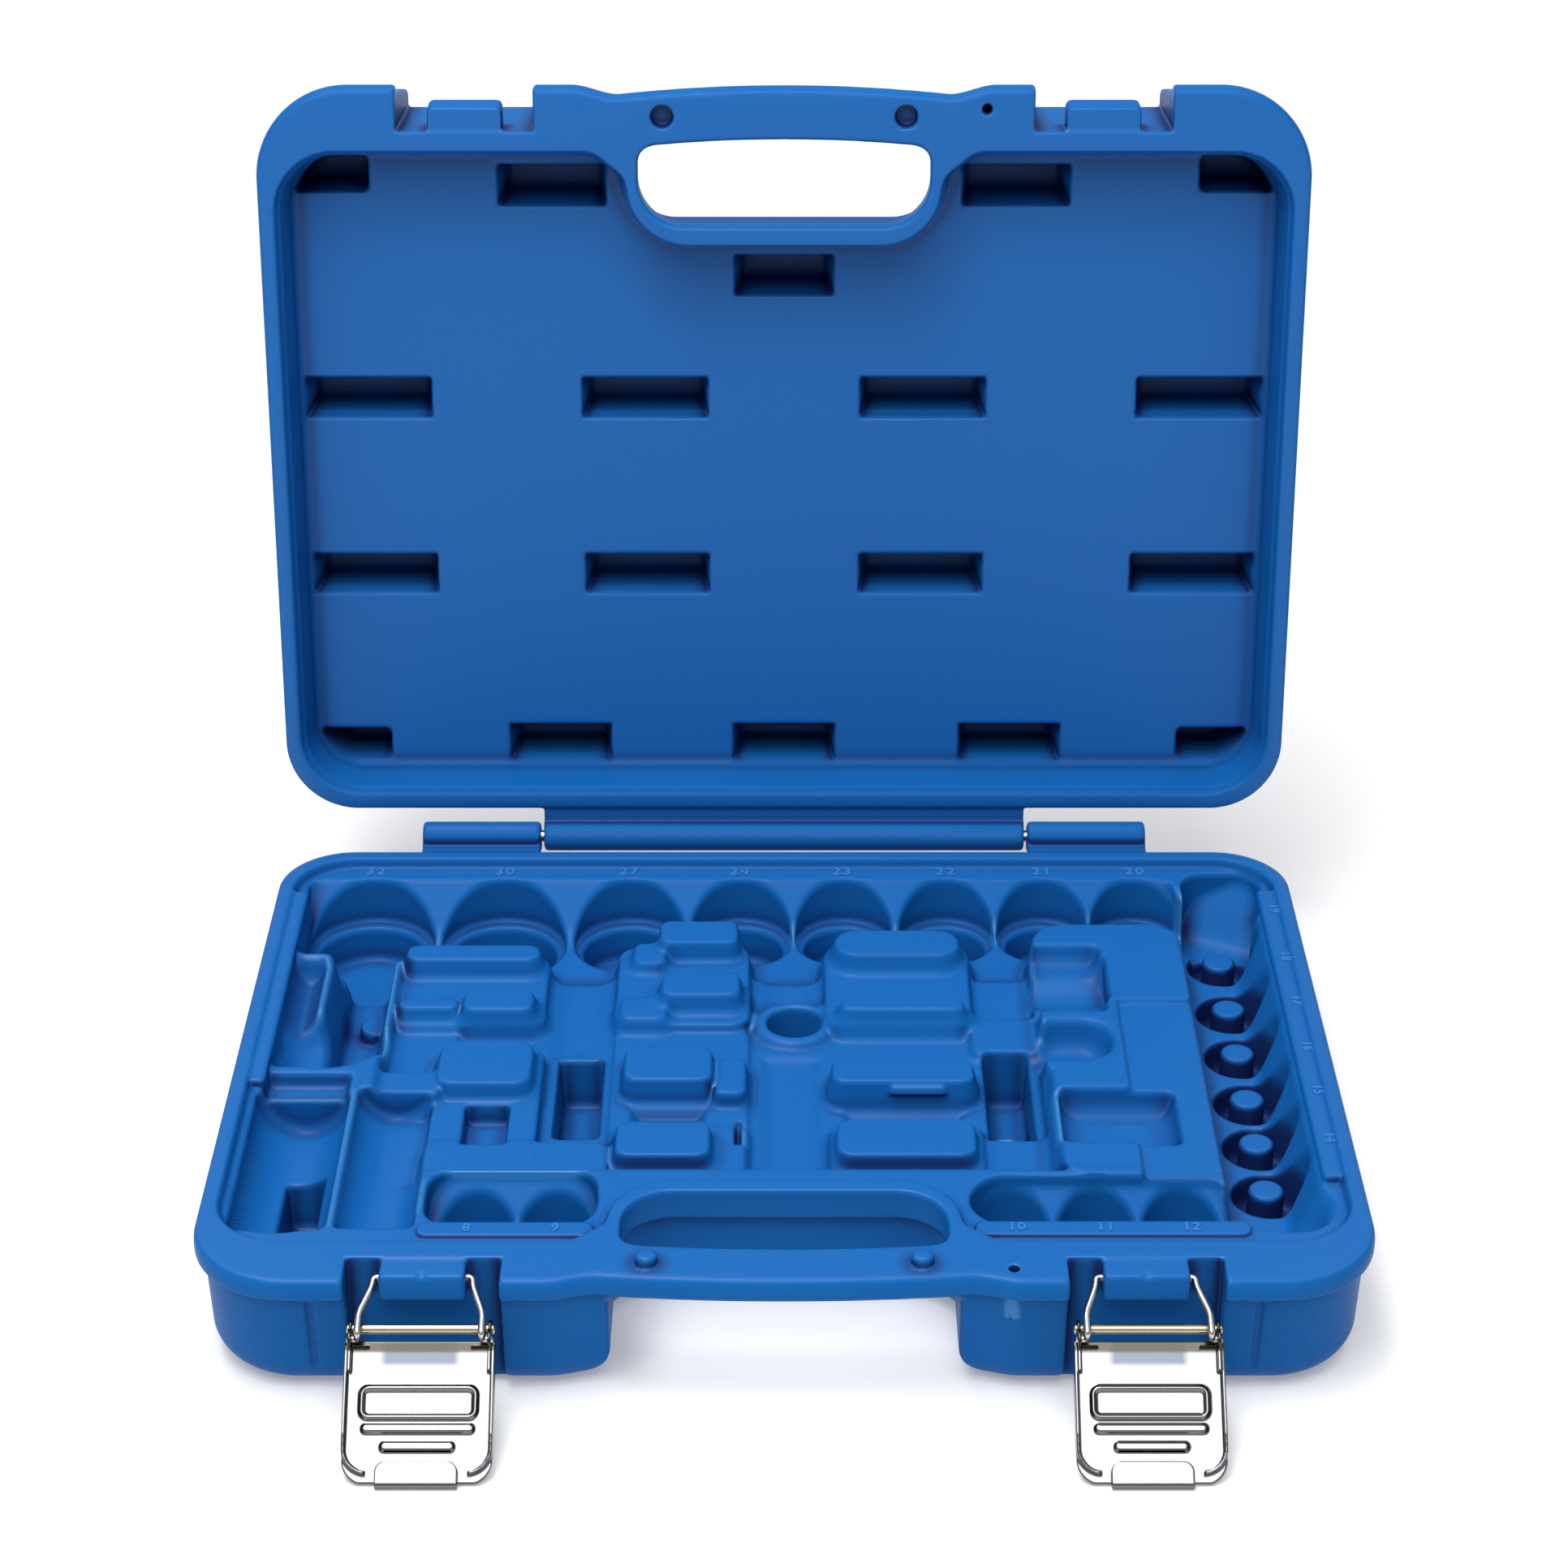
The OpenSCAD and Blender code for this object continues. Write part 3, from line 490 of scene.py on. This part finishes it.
    # short sockets along the front
    H.ramp((-105, -55), (196.0, 223.5), lambda x, s: -8 - 0.75 * (s - 198.0), -17, r=9)
    for x in (-90.5, -67):
        well(x, 210.5, 12.2, 27, t=0.06, k=1.6)
    H.ramp((57.5, 134), (199.5, 223), lambda x, s: -7 - 0.75 * (s - 200.0), -17, r=9)
    for x in (66.5, 91.7, 116.5):
        well(x, 211.5, 12.3, 27, t=0.06, k=1.6)
    # column of short sockets on the right: a leaning wall cut by upright cylinders, with studs in them
    H.ramp((131, 158.5), (40, 226), lambda x, s: -2 - 2.2 * (158.0 - x), -20, r=9)
    pocket(130, 150, 44, 224, 16, r=9, t=0.25, k=2.5, kf=4)
    column = (54, 83, 109.5, 136, 160.5, 185.5)
    for s in column:
        well(145.5, s, 11.6, 29, t=0.04, k=1.6)
    for s in column:
        H.stud(144.8, s, 5.5, -31, -17.5, k=1.5, kt=1.4)
    H.ramp((134, 160), (20.5, 50), lambda x, s: -3 - 1.0 * (s - 20.0) - 0.5 * (160 - x), -24, r=9)
    well(147, 213, 14.5, 18, t=0.5, k=3, kf=6)
    # raised strips at the sides, and the strips that carry numbers along the front
    block(-165.5, -159.5, 36, 152, -0.6, r=1.5, low=-12, k=0.8, kt=0.8)
    block(158.5, 166, 35, 203, -0.8, r=1.5, low=-12, k=0.8, kt=0.8)
    block(-106, -55, 224, 231, -1.8, r=3, low=-12, k=0.6, kt=0.8)
    block(55, 134.5, 223.5, 230.5, -1.8, r=3, low=-12, k=0.6, kt=0.8)
    for sx in (-1, 1):
        lx = sx * LATCH_X

        def boss(x, y, z, lx=lx):
            side = box2(x, y, lx - 12.3, lx + 12.3, Y(253), Y(240), 1.5)
            return smax(smax(side, z + 0.32, 1.4), -9 - z, 1.5)

        def notch(x, y, z, lx=lx):
            """mark at the seam where the wire was pushed in"""
            return smax(np.hypot(x - lx, z - 0.6) - 1.5, y - Y(251), 0.5)
        H.F.add(((lx - 16, lx + 16), (-123, -105), (-11, 2)), boss, 0.6)
        H.F.cut(((lx - 3, lx + 3), (-122, -108), (-2, 2)), notch, 0.8)
        H.stud(sx * PEG_X, PEG_S, 3.25, -1, 3.5, k=0.5, kt=1.2)
        H.barrel(*sorted((sx * 83.5, sx * 124.0)))
    H.tie_hole()
    return H.F


def carve_lid():
    H = Half(LID_H, 8.0)
    H.shell(242.6)
    H.inner(20.0, k=1.2, kf=3.0, t=0.10, side=1.1)
    H.inner(2.6, k=0.6, kf=0.6, t=0.2)
    # wells, by their middles in x and their reach to each side
    for middles, reach, s0, s1 in (((-77.3, 0, 78), 19.5, 18.5, 35.5),
                                   ((-138.8, -46.4, 46.4, 138.8), 23, 79.5, 97),
                                   ((-138.8, -46.4, 46.4, 138.8), 23, 141, 158.5),
                                   ((0,), 18.3, 182.5, 200),
                                   ((-76, 76), 19.7, 212.5, 230)):
        for x in middles:
            H.pocket(x - reach, x + reach, s0, s1, 41.0, r=2.5, t=0.10, k=1.3)
    for middle, reach, s0, s1 in ((148.5, 13.5, 20, 33), (149.7, 14.7, 218, 232)):
        for x in (-middle, middle):
            H.pocket(x - reach, x + reach, s0, s1, 41.0, r=3.0, t=0.05, k=1.2, within=True)
    for sx in (-1, 1):
        lx, px, py = sx * LATCH_X, sx * PEG_X, Y(PEG_S)

        def tongue(x, y, z, lx=lx):
            side = box2(x, y, lx - 12, lx + 12, Y(251.5) + 0.15 * (9.2 + z), Y(238), 2.0)
            return smax(smax(side, z + 0.32, 1.0), -9.15 - z, 1.6)

        def peg_hole(x, y, z, px=px, py=py):
            return smax(np.hypot(x - px, y - py) - 3.6, -4.6 - z, 0.6)
        H.F.add(((lx - 16, lx + 16), (-123, -100), (-11, 2)), tongue, 0.6)
        H.F.cut(around(px, px, py, py, 6, -7, 3), peg_hole, 0.6)
    H.barrel(-82.4, 82.4)
    H.tie_hole()
    return H.F


def lid_place(V):
    """from the lid's rim-up frame to its open place"""
    V = np.array(V, float)
    y, z = V[:, 1] - HINGE_Y, -V[:, 2] + AXIS_UP
    c, s = math.cos(OPEN), math.sin(OPEN)
    return np.stack([V[:, 0], HINGE_Y + c * y + s * z, HINGE_Z - s * y + c * z], 1)


# ---------------------------------------------------------------- the latches
def carve_lever():
    """lever with its pivot at the origin and its plate toward -y; the plate's face is at z top"""
    F = Field((-21.1, -41.4, -3.9), (21.1, 5.9, 2.9), LEVER_CELL)
    top, full = -2.9, ((-25, 25), (-45, 10), (-6, 6))

    def rise(d, w, h):
        q = np.clip(d / w, 0, 1)
        return h * q * q * (3 - 2 * q)

    def press(x, y):
        """height of the pressed frame and the two beads over the flat plate"""
        frame_edge = box2(x, -y, -15.9, 15.9, 13.2, 21.3, 2.0)
        return (rise(1.25 - np.abs(frame_edge), 1.2, 0.8)
                + rise(-box2(x, -y, -16.2, 16.2, 22.8, 26.3, 1.7), 1.1, 0.85)
                + rise(-box2(x, -y, -10.8, 10.8, 27.8, 31.4, 1.7), 1.1, 0.85))

    def sheet(x, y, z):
        p = press(x, y)
        side = smax(box2(x, y, -21.1, 21.1, -39.9, 0.0, 0.5), box2(x, y, -21.1, 21.1, -40.4, 20, 7.3), 0.2)
        return smax(smax(z - top - p, (top - 1) - z + 0.55 * p, 0.2), side, 0.4)

    def flange(x, y, z):
        """side walls that follow the rounded lower corners"""
        side = smax(box2(x, y, -21.1, 21.1, -37.5, 20, 7.3), y + 1.0, 0.1)
        wall = smax(side, -(side + 1.0), 0.1)
        wall = smax(wall, y + 1.5, 0.2)
        wall = smax(wall, 14.5 - np.abs(x), 0.2)
        return smax(smax(wall, z + 0.3 + 0.10 * np.maximum(-y - 26, 0), 0.5), -3.9 - z, 0.3)

    def ear(x, y, z):
        pivot = np.hypot(y, z) - 2.8
        hook = np.hypot(y - HOOK_Y, z - HOOK_Z) - 2.6
        web = box2(y, z, -0.2, 3.2, -3.9, 1.0, 0.3)
        foot = box2(y, z, -9, 1.4, -3.9, 0.6, 0.4)
        d = smin(smin(pivot, hook, 0.6), smin(web, foot, 0.8), 0.6)
        return smax(smax(d, -3.9 - z, 0.2), np.abs(np.abs(x) - 19.6) - 0.5, 0.35)

    def flap(x, y, z):
        """hemmed thumb edge: a leaf on the plate and the curl round its end"""
        u = -y
        curl = np.where(u > 39.9, np.abs(np.hypot(u - 39.9, z + 2.4) - 1.0) - 0.5, 9)
        leaf = np.where(u <= 39.9, np.abs(z + 1.4) - 0.5, 9)
        side = np.maximum(np.abs(x) - 11.5, 33.8 - u)
        corner = box2(x, u, -11.5, 11.5, 33.8, 60, 3.0)
        return smax(np.minimum(curl, leaf), np.maximum(side, corner), 0.3)
    for form, k in ((sheet, 0.0), (flange, 0.5), (ear, 0.3), (flap, 0.15)):
        F.add(full, form, k)
    for hy, hz, r in ((0.0, 0.0, 1.17), (HOOK_Y, HOOK_Z, 1.0)):
        F.cut(full, lambda x, y, z: smax(np.hypot(y - hy, z - hz) - r, 18.5 - np.abs(x), 0), 0.1)
    return F


def lever_place(V, sx):
    """from the lever's frame to where it hangs"""
    V = np.array(V, float)
    c, s = math.cos(LEVER_LEAN), math.sin(LEVER_LEAN)
    return np.stack([V[:, 0] + sx * LATCH_X,
                     PIVOT_Y + c * V[:, 1] - s * V[:, 2],
                     PIVOT_Z + s * V[:, 1] + c * V[:, 2]], 1)


def bail_place(p, sx):
    """from the bail's frame, where it lies flat, to where it hangs"""
    c, s = math.cos(BAIL_HANG), math.sin(BAIL_HANG)
    return p[0] + sx * LATCH_X, BAIL_Y + c * p[1] - s * p[2], BAIL_Z + s * p[1] + c * p[2]


def turned(points, n=48):
    """lathe (x, r) points round the X axis, with short facets that keep the edges crisp"""
    fine = [points[0]]
    for (xa, ra), (xb, rb) in zip(points, points[1:]):
        u = min(0.06 / math.hypot(xb - xa, rb - ra), 0.3)
        fine += [(xa + (xb - xa) * u, ra + (rb - ra) * u), (xb - (xb - xa) * u, rb - (rb - ra) * u), (xb, rb)]
    angles = [2 * math.pi * i / n for i in range(n)]
    V = [(x, r * math.cos(a), r * math.sin(a)) for x, r in fine for a in angles]
    Q = [(j * n + i, j * n + (i + 1) % n, (j + 1) * n + (i + 1) % n, (j + 1) * n + i)
         for j in range(len(fine) - 1) for i in range(n)]
    return np.array(V), np.array(Q)


def wire(name, pts, r, n=20):
    """tube of radius r through smooth points, with rounded ends"""
    pts = [Vector(p) for p in pts]
    last = len(pts) - 1
    t = [(pts[min(i + 1, last)] - pts[max(i - 1, 0)]).normalized() for i in range(last + 1)]
    rings = [(pts[0], t[0], 0.55 * r)] + [(p, q, r) for p, q in zip(pts, t)] + [(pts[-1], t[-1], 0.55 * r)]
    normal = t[0].orthogonal().normalized()
    V, faces = [], []
    for p, q, radius in rings:
        normal = (normal - q * normal.dot(q)).normalized()
        b = q.cross(normal)
        for j in range(n):
            a = 2 * math.pi * j / n
            V.append(p + (normal * math.cos(a) + b * math.sin(a)) * radius)
    V += [pts[0], pts[-1]]
    far = (len(rings) - 1) * n
    for i in range(0, far, n):
        for j in range(n):
            k = (j + 1) % n
            faces.append((i + j, i + k, i + n + k, i + n + j))
    for j in range(n):
        k = (j + 1) % n
        faces += [(len(V) - 2, k, j), (len(V) - 1, far + j, far + k)]
    me = bpy.data.meshes.new(name)
    me.from_pydata([tuple(c * MM for c in v) for v in V], [], faces)
    for f in me.polygons:
        f.use_smooth = True
    return link(name, me)


def smooth_path(corners, radius):
    """polyline with rounded corners"""
    c = [Vector(p) for p in corners]
    out = [c[0]]
    for i in range(1, len(c) - 1):
        a, b = (c[i - 1] - c[i]), (c[i + 1] - c[i])
        r = min(radius, a.length * 0.48, b.length * 0.48)
        p0, p1 = c[i] + a.normalized() * r, c[i] + b.normalized() * r
        for j in range(9):
            u = j / 8
            out.append((1 - u) ** 2 * p0 + 2 * u * (1 - u) * c[i] + u * u * p1)
    out.append(c[-1])
    return out


# ---------------------------------------------------------------- materials
def material(name, color, rough, metal=0.0, **more):
    m = bpy.data.materials.new(name)
    m.use_nodes = True
    b = m.node_tree.nodes["Principled BSDF"]
    b.inputs["Base Color"].default_value = (*color, 1)
    b.inputs["Roughness"].default_value = rough
    b.inputs["Metallic"].default_value = metal
    for k, v in more.items():
        b.inputs[k.replace("_", " ")].default_value = v
    return m, m.node_tree, b


def node(nt, kind, **values):
    """new shader node with some inputs set"""
    n = nt.nodes.new("ShaderNode" + kind)
    for k, v in values.items():
        n.inputs[k.replace("_", " ")].default_value = v
    return n


def calc(nt, op, a, b=None, clamp=False):
    m = node(nt, "Math")
    m.operation, m.use_clamp = op, clamp
    for sock, v in zip(m.inputs, (a, b)):
        if isinstance(v, (int, float)):
            sock.default_value = v
        elif v is not None:
            nt.links.new(v, sock)
    return m.outputs[0]


def times(nt, a, b):
    return calc(nt, "MULTIPLY", a, b)


def minus(nt, a, b):
    return calc(nt, "SUBTRACT", a, b)


def value_map(nt, name, lo, hi):
    """a mesh attribute, 0 at lo and 1 at hi"""
    at = node(nt, "Attribute")
    at.attribute_name = name
    mr = node(nt, "MapRange", From_Min=lo, From_Max=hi)
    nt.links.new(at.outputs["Fac"], mr.inputs["Value"])
    return mr.outputs["Result"]


def skin_parts(nt):
    """the three coordinates that skin() kept"""
    at = node(nt, "Attribute")
    at.attribute_name = "skin"
    sp = node(nt, "SeparateXYZ")
    nt.links.new(at.outputs["Vector"], sp.inputs[0])
    return sp.outputs


def tint(nt, fac, a, b):
    """colour a where fac is 0, b where it is 1"""
    mx = node(nt, "Mix")
    mx.data_type = "RGBA"
    nt.links.new(fac, mx.inputs[0])
    for sock, v in ((mx.inputs[6], a), (mx.inputs[7], b)):
        if isinstance(v, tuple):
            sock.default_value = (*v, 1)
        else:
            nt.links.new(v, sock)
    return mx.outputs[2]


def noise_bump(nt, b, scale, strength, distance):
    tc = node(nt, "TexCoord")
    no = node(nt, "TexNoise", Scale=scale, Detail=2.0)
    bu = node(nt, "Bump", Strength=strength, Distance=distance)
    nt.links.new(tc.outputs["Object"], no.inputs["Vector"])
    nt.links.new(no.outputs["Fac"], bu.inputs["Height"])
    nt.links.new(bu.outputs["Normal"], b.inputs["Normal"])
    return bu.outputs["Normal"]


def grain(nt, b, below, pitch=1.9):
    """small studs over the front corners, over the finer bumps below"""
    u, v, mask = skin_parts(nt)
    k = 2 * math.pi / pitch
    wave = times(nt, *(calc(nt, "SINE", times(nt, c, k)) for c in (u, v)))
    bu = node(nt, "Bump", Strength=0.9, Distance=0.00022)
    nt.links.new(times(nt, calc(nt, "MAXIMUM", wave, 0.0), mask), bu.inputs["Height"])
    nt.links.new(below, bu.inputs["Normal"])
    nt.links.new(bu.outputs["Normal"], b.inputs["Normal"])


def paint_shade_and_sheen(nt, b, color, painted_shade_color, sheen_and_wear_color, gloss):
    """painted shade where the surface is sunk, a painted highlight with some wear and more gloss on sharp edges,
    duller on slopes and walls
    """
    # painted shade: a darker, more violet blue where the surface is sunk
    c = tint(nt, value_map(nt, "sunk", 0.11, 0.64), color, painted_shade_color)
    # painted highlight, with some wear: a lighter blue on sharp edges
    c = tint(nt, value_map(nt, "sharp", 0.30, 0.80), c, sheen_and_wear_color)
    nt.links.new(c, b.inputs["Base Color"])
    edge = value_map(nt, "sharp", 0.30, 0.75)
    dull = times(nt, value_map(nt, "steep", 0.30, 0.60), minus(nt, 1.0, edge))
    edge = times(nt, edge, minus(nt, 1.0, value_map(nt, "steep", 0.70, 0.92)))
    change = minus(nt, times(nt, edge, 0.28), times(nt, dull, 0.20))
    nt.links.new(calc(nt, "ADD", change, gloss), b.inputs["Specular IOR Level"])


def paint_reflection_by_facing(nt, b, direction, stops):
    """painted reflection: base colour by how far a face is turned from a line of the object"""
    tc = node(nt, "TexCoord")
    dot = node(nt, "VectorMath")
    dot.operation = "DOT_PRODUCT"
    dot.inputs[1].default_value = direction
    cr = node(nt, "ValToRGB")
    while len(cr.color_ramp.elements) < len(stops):
        cr.color_ramp.elements.new(0.5)
    for el, (pos, col) in zip(cr.color_ramp.elements, stops):
        el.position, el.color = pos, (*col, 1)
    nt.links.new(tc.outputs["Normal"], dot.inputs[0])
    nt.links.new(calc(nt, "ABSOLUTE", dot.outputs["Value"]), cr.inputs["Fac"])
    nt.links.new(cr.outputs["Color"], b.inputs["Base Color"])


def paint_pin_reflections(nt, b):
    """painted dark reflections of the pin and the case near the pivot"""
    x, u, _ = skin_parts(nt)
    n = minus(nt, node(nt, "TexNoise", Scale=900, Detail=4).outputs["Fac"], 0.5)
    edge = calc(nt, "ADD", u, times(nt, n, 3.0))
    line = calc(nt, "DIVIDE", minus(nt, 3.4, edge), 0.5, True)
    patch = calc(nt, "DIVIDE", minus(nt, 7.2, edge), 1.2, True)
    width = calc(nt, "DIVIDE", minus(nt, 11.5, calc(nt, "ABSOLUTE", x)), 2.0, True)
    bare = b.inputs["Base Color"].links[0].from_socket
    c = tint(nt, times(nt, times(nt, patch, width), 0.75), bare, (0.05, 0.065, 0.10))
    c = tint(nt, times(nt, line, 0.93), c, (0.05, 0.045, 0.035))
    nt.links.new(c, b.inputs["Base Color"])


# the plastic's blue, then a darker blue painted as shade in hollows, then a lighter blue painted as highlight, with
# some wear, on sharp edges
BLUE, PAINTED_SHADE_BLUE, EDGE_SHEEN_AND_WEAR_BLUE = (0.006, 0.098, 0.33), (0.008, 0.020, 0.105), (0.020, 0.160, 0.420)
GLOSS = 0.24
plastic, nt, bsdf = material("blue_plastic", BLUE, 0.40, Specular_IOR_Level=GLOSS)
grain(nt, bsdf, noise_bump(nt, bsdf, 900, 0.10, 0.0002))
paint_shade_and_sheen(nt, bsdf, BLUE, PAINTED_SHADE_BLUE, EDGE_SHEEN_AND_WEAR_BLUE, GLOSS)
# the numbers are the same plastic; their lighter blue is a painted highlight
raised = material("blue_number_highlight", (0.022, 0.150, 0.42), 0.45, Specular_IOR_Level=0.32)[0]
zinc, nt, bsdf = material("bright_zinc", (0.80, 0.80, 0.79), 0.16, 1.0)
noise_bump(nt, bsdf, 160, 0.06, 0.0003)
# painted reflection on the lever plate: brightest where a face lies flat with the plate, dark grey where it turns
# away, as on flanks and bead sides
plate_lean = math.radians(90 - LEVER_DEG)
paint_reflection_by_facing(nt, bsdf, (0, -math.cos(plate_lean), math.sin(plate_lean)),
       [(0.30, (0.10, 0.10, 0.11)), (0.78, (0.16, 0.16, 0.17)),
        (0.93, (0.18, 0.185, 0.195)), (0.99, (0.218, 0.220, 0.223))])
paint_pin_reflections(nt, bsdf)
zinc_wire, nt, bsdf = material("zinc_wire", (0.52, 0.51, 0.49), 0.26, 1.0)
noise_bump(nt, bsdf, 700, 0.15, 0.0002)
yellow = material("yellow_zinc", (0.50, 0.43, 0.27), 0.24, 1.0)[0]

# ---------------------------------------------------------------- the halves in place
F = carve_base()
V, Q = F.mesh()
sunk, sharp, N = F.relief(V)
base = to_object("base_shell", V + np.array([0, 0, BASE_H]), Q)
shade(base, sunk, sharp, N)
skin(base, grained(V, N, BASE_H))
dress(base, plastic, "base", "base_half")

F = carve_lid()
V, Q = F.mesh()
sunk, sharp, N = F.relief(V)
lid = to_object("lid_shell", lid_place(V), Q[:, ::-1])
shade(lid, sunk, sharp, N)
skin(lid, grained(V, N, LID_H))
dress(lid, plastic, "lid", "lid_half")


def label(text, x, s, z, h, turn=0.0):
    """raised number on the tray, h high, its foot z over the rim"""
    cu = bpy.data.curves.new("n" + text, "FONT")
    cu.body = text
    cu.size = h * 1.35 * MM
    cu.align_x = cu.align_y = "CENTER"
    cu.extrude = 0.28 * MM
    cu.bevel_depth = 0.14 * MM
    cu.bevel_resolution = 1
    cu.offset = 0.02 * MM
    cu.space_character = 1.15
    o = link("tmp", cu)
    me = bpy.data.meshes.new_from_object(o.evaluated_get(bpy.context.evaluated_depsgraph_get()))
    bpy.data.objects.remove(o)
    place = Matrix.Translation((x * MM, Y(s) * MM, (BASE_H + z) * MM))
    me.transform(place @ Matrix.Rotation(turn, 4, "Z"))
    dress(link("number_" + text, me), raised, "base")


for text, x in (("32", -138.6), ("30", -94.8), ("27", -52.7), ("24", -15.1),
                ("23", 19.7), ("22", 54.8), ("21", 87.5), ("20", 119)):
    label(text, x, 19.6, -2.9, 4.6)
for text, x, s in (("8", -91.6, 227.5), ("9", -66.0, 227.5), ("10", 67.0, 227), ("11", 92.5, 227), ("12", 117.3, 227)):
    label(text, x, s, -1.75, 3.6)
for text, s in (("19", 48), ("18", 78.5), ("17", 105.5), ("16", 132.5), ("15", 157), ("14", 183)):
    label(text, 163.0, s, -0.75, 3.6, turn=-math.pi / 2)

# ---------------------------------------------------------------- the latches in place
lever_V, lever_Q = carve_lever().mesh()
# the bail from the middle of its boss to an end in the lever's ear, then mirrored
L = BAIL_LENGTH
half = [(0, 0, 0), (14.0, 0, 0), (14.2, -3.0, 0.4), (17.4, -11.5, 1.7), (17.4, -L + 0.6, 2.6), (17.4, -L, 0),
        (20.55, -L, 0)]
bail = [(-x, y, z) for x, y, z in half[:0:-1]] + half[1:]
# the hook pin's (x, r) profile, shouldered at both ends
end = [(-20.9, 0.05), (-20.9, 1.0), (-20.7, 1.3), (-20.4, 1.4), (-20.1, 1.4), (-20.1, 1.0), (-19.1, 1.0), (-19.1, 1.4)]
hook_V, hook_Q = turned(end + [(-x, r) for x, r in end[::-1]])
hook_V = hook_V + np.array([0, HOOK_Y, HOOK_Z])
for sx, side in ((-1, "left"), (1, "right")):
    o = to_object("lever_" + side, lever_place(lever_V, sx), lever_Q)
    skin(o, lever_V * np.array([1, -1, 1]))
    dress(o, zinc, "lever_" + side, "latch_lever_" + side)
    o = wire("bail_" + side, smooth_path([bail_place(p, sx) for p in bail], 1.9), 1.1)
    dress(o, zinc_wire, "bail_" + side, "latch_bail_" + side)
    o = to_object("hook_" + side, lever_place(hook_V, sx), hook_Q)
    dress(o, yellow, "lever_" + side, "hook_pin_" + side)
for name in ("hinge_pin_left", "hinge_pin_right"):
    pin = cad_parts[name].data
    pin.materials.clear()
    pin.materials.append(zinc_wire)

# ---------------------------------------------------------------- stage
WHITE = (1, 1, 1, 1)
me = bpy.data.meshes.new("floor")
me.from_pydata([(-4, -4, 0), (4, -4, 0), (4, 6, 0), (-4, 6, 0)], [], [(0, 1, 2, 3)])
floor = link("floor", me)
floor_white, nt, bsdf = material("floor_white", (0.70, 0.70, 0.70), 0.8, Emission_Color=WHITE)
# the floor glows more with the distance, so that it runs into the white background
tc = node(nt, "TexCoord")
far = node(nt, "VectorMath")
far.operation = "LENGTH"
glow = node(nt, "MapRange", From_Min=0.9, From_Max=2.2, To_Min=0.25, To_Max=1.0)
nt.links.new(tc.outputs["Object"], far.inputs[0])
nt.links.new(far.outputs["Value"], glow.inputs["Value"])
nt.links.new(glow.outputs["Result"], bsdf.inputs["Emission Strength"])
floor.data.materials.append(floor_white)

# sky that brightens upward; the camera itself sees plain white
world = bpy.data.worlds.new("world")
bpy.context.scene.world = world
world.use_nodes = True
nt = world.node_tree
sky = nt.nodes["Background"]
sky.inputs["Color"].default_value = WHITE
white = node(nt, "Background", Color=WHITE, Strength=1.0)
tc = node(nt, "TexCoord")
sp = node(nt, "SeparateXYZ")
up = node(nt, "MapRange", From_Min=-0.1, From_Max=0.8, To_Min=0.12, To_Max=0.62)
lp = node(nt, "LightPath")
mix = node(nt, "MixShader")
for a, b in ((tc.outputs["Generated"], sp.inputs[0]),
             (sp.outputs["Z"], up.inputs["Value"]),
             (up.outputs["Result"], sky.inputs["Strength"]),
             (lp.outputs["Is Camera Ray"], mix.inputs["Fac"]),
             (sky.outputs["Background"], mix.inputs[1]),
             (white.outputs["Background"], mix.inputs[2]),
             (mix.outputs["Shader"], nt.nodes["World Output"].inputs["Surface"])):
    nt.links.new(a, b)


def lamp(name, loc, target, sides, power):
    d = bpy.data.lights.new(name, "AREA")
    d.shape = "RECTANGLE"
    d.size, d.size_y = sides
    d.energy = power
    o = link(name, d)
    o.location = loc
    o.rotation_euler = (Vector(target) - Vector(loc)).to_track_quat("-Z", "Y").to_euler()


lamp("key", (-0.15, -0.75, 1.45), (0, 0, 0.05), (1.3, 1.0), 18)
lamp("top", (-0.3, -0.05, 1.7), (0, 0.0, 0), (1.2, 0.5), 20)

# the photograph's camera, fitted to the straight edges of the case
cam = bpy.data.cameras.new("cam")
cam.sensor_width = 36
cam.lens = 81.04
cam.shift_x = 0.00123
cam.clip_start = 0.05
camera = link("cam", cam)
camera.location = (-0.00065, -0.92731, 0.63794)
camera.rotation_euler = (math.radians(90 - 28.404), 0, 0)
bpy.context.scene.camera = camera
bpy.context.scene.view_settings.view_transform = "Standard"
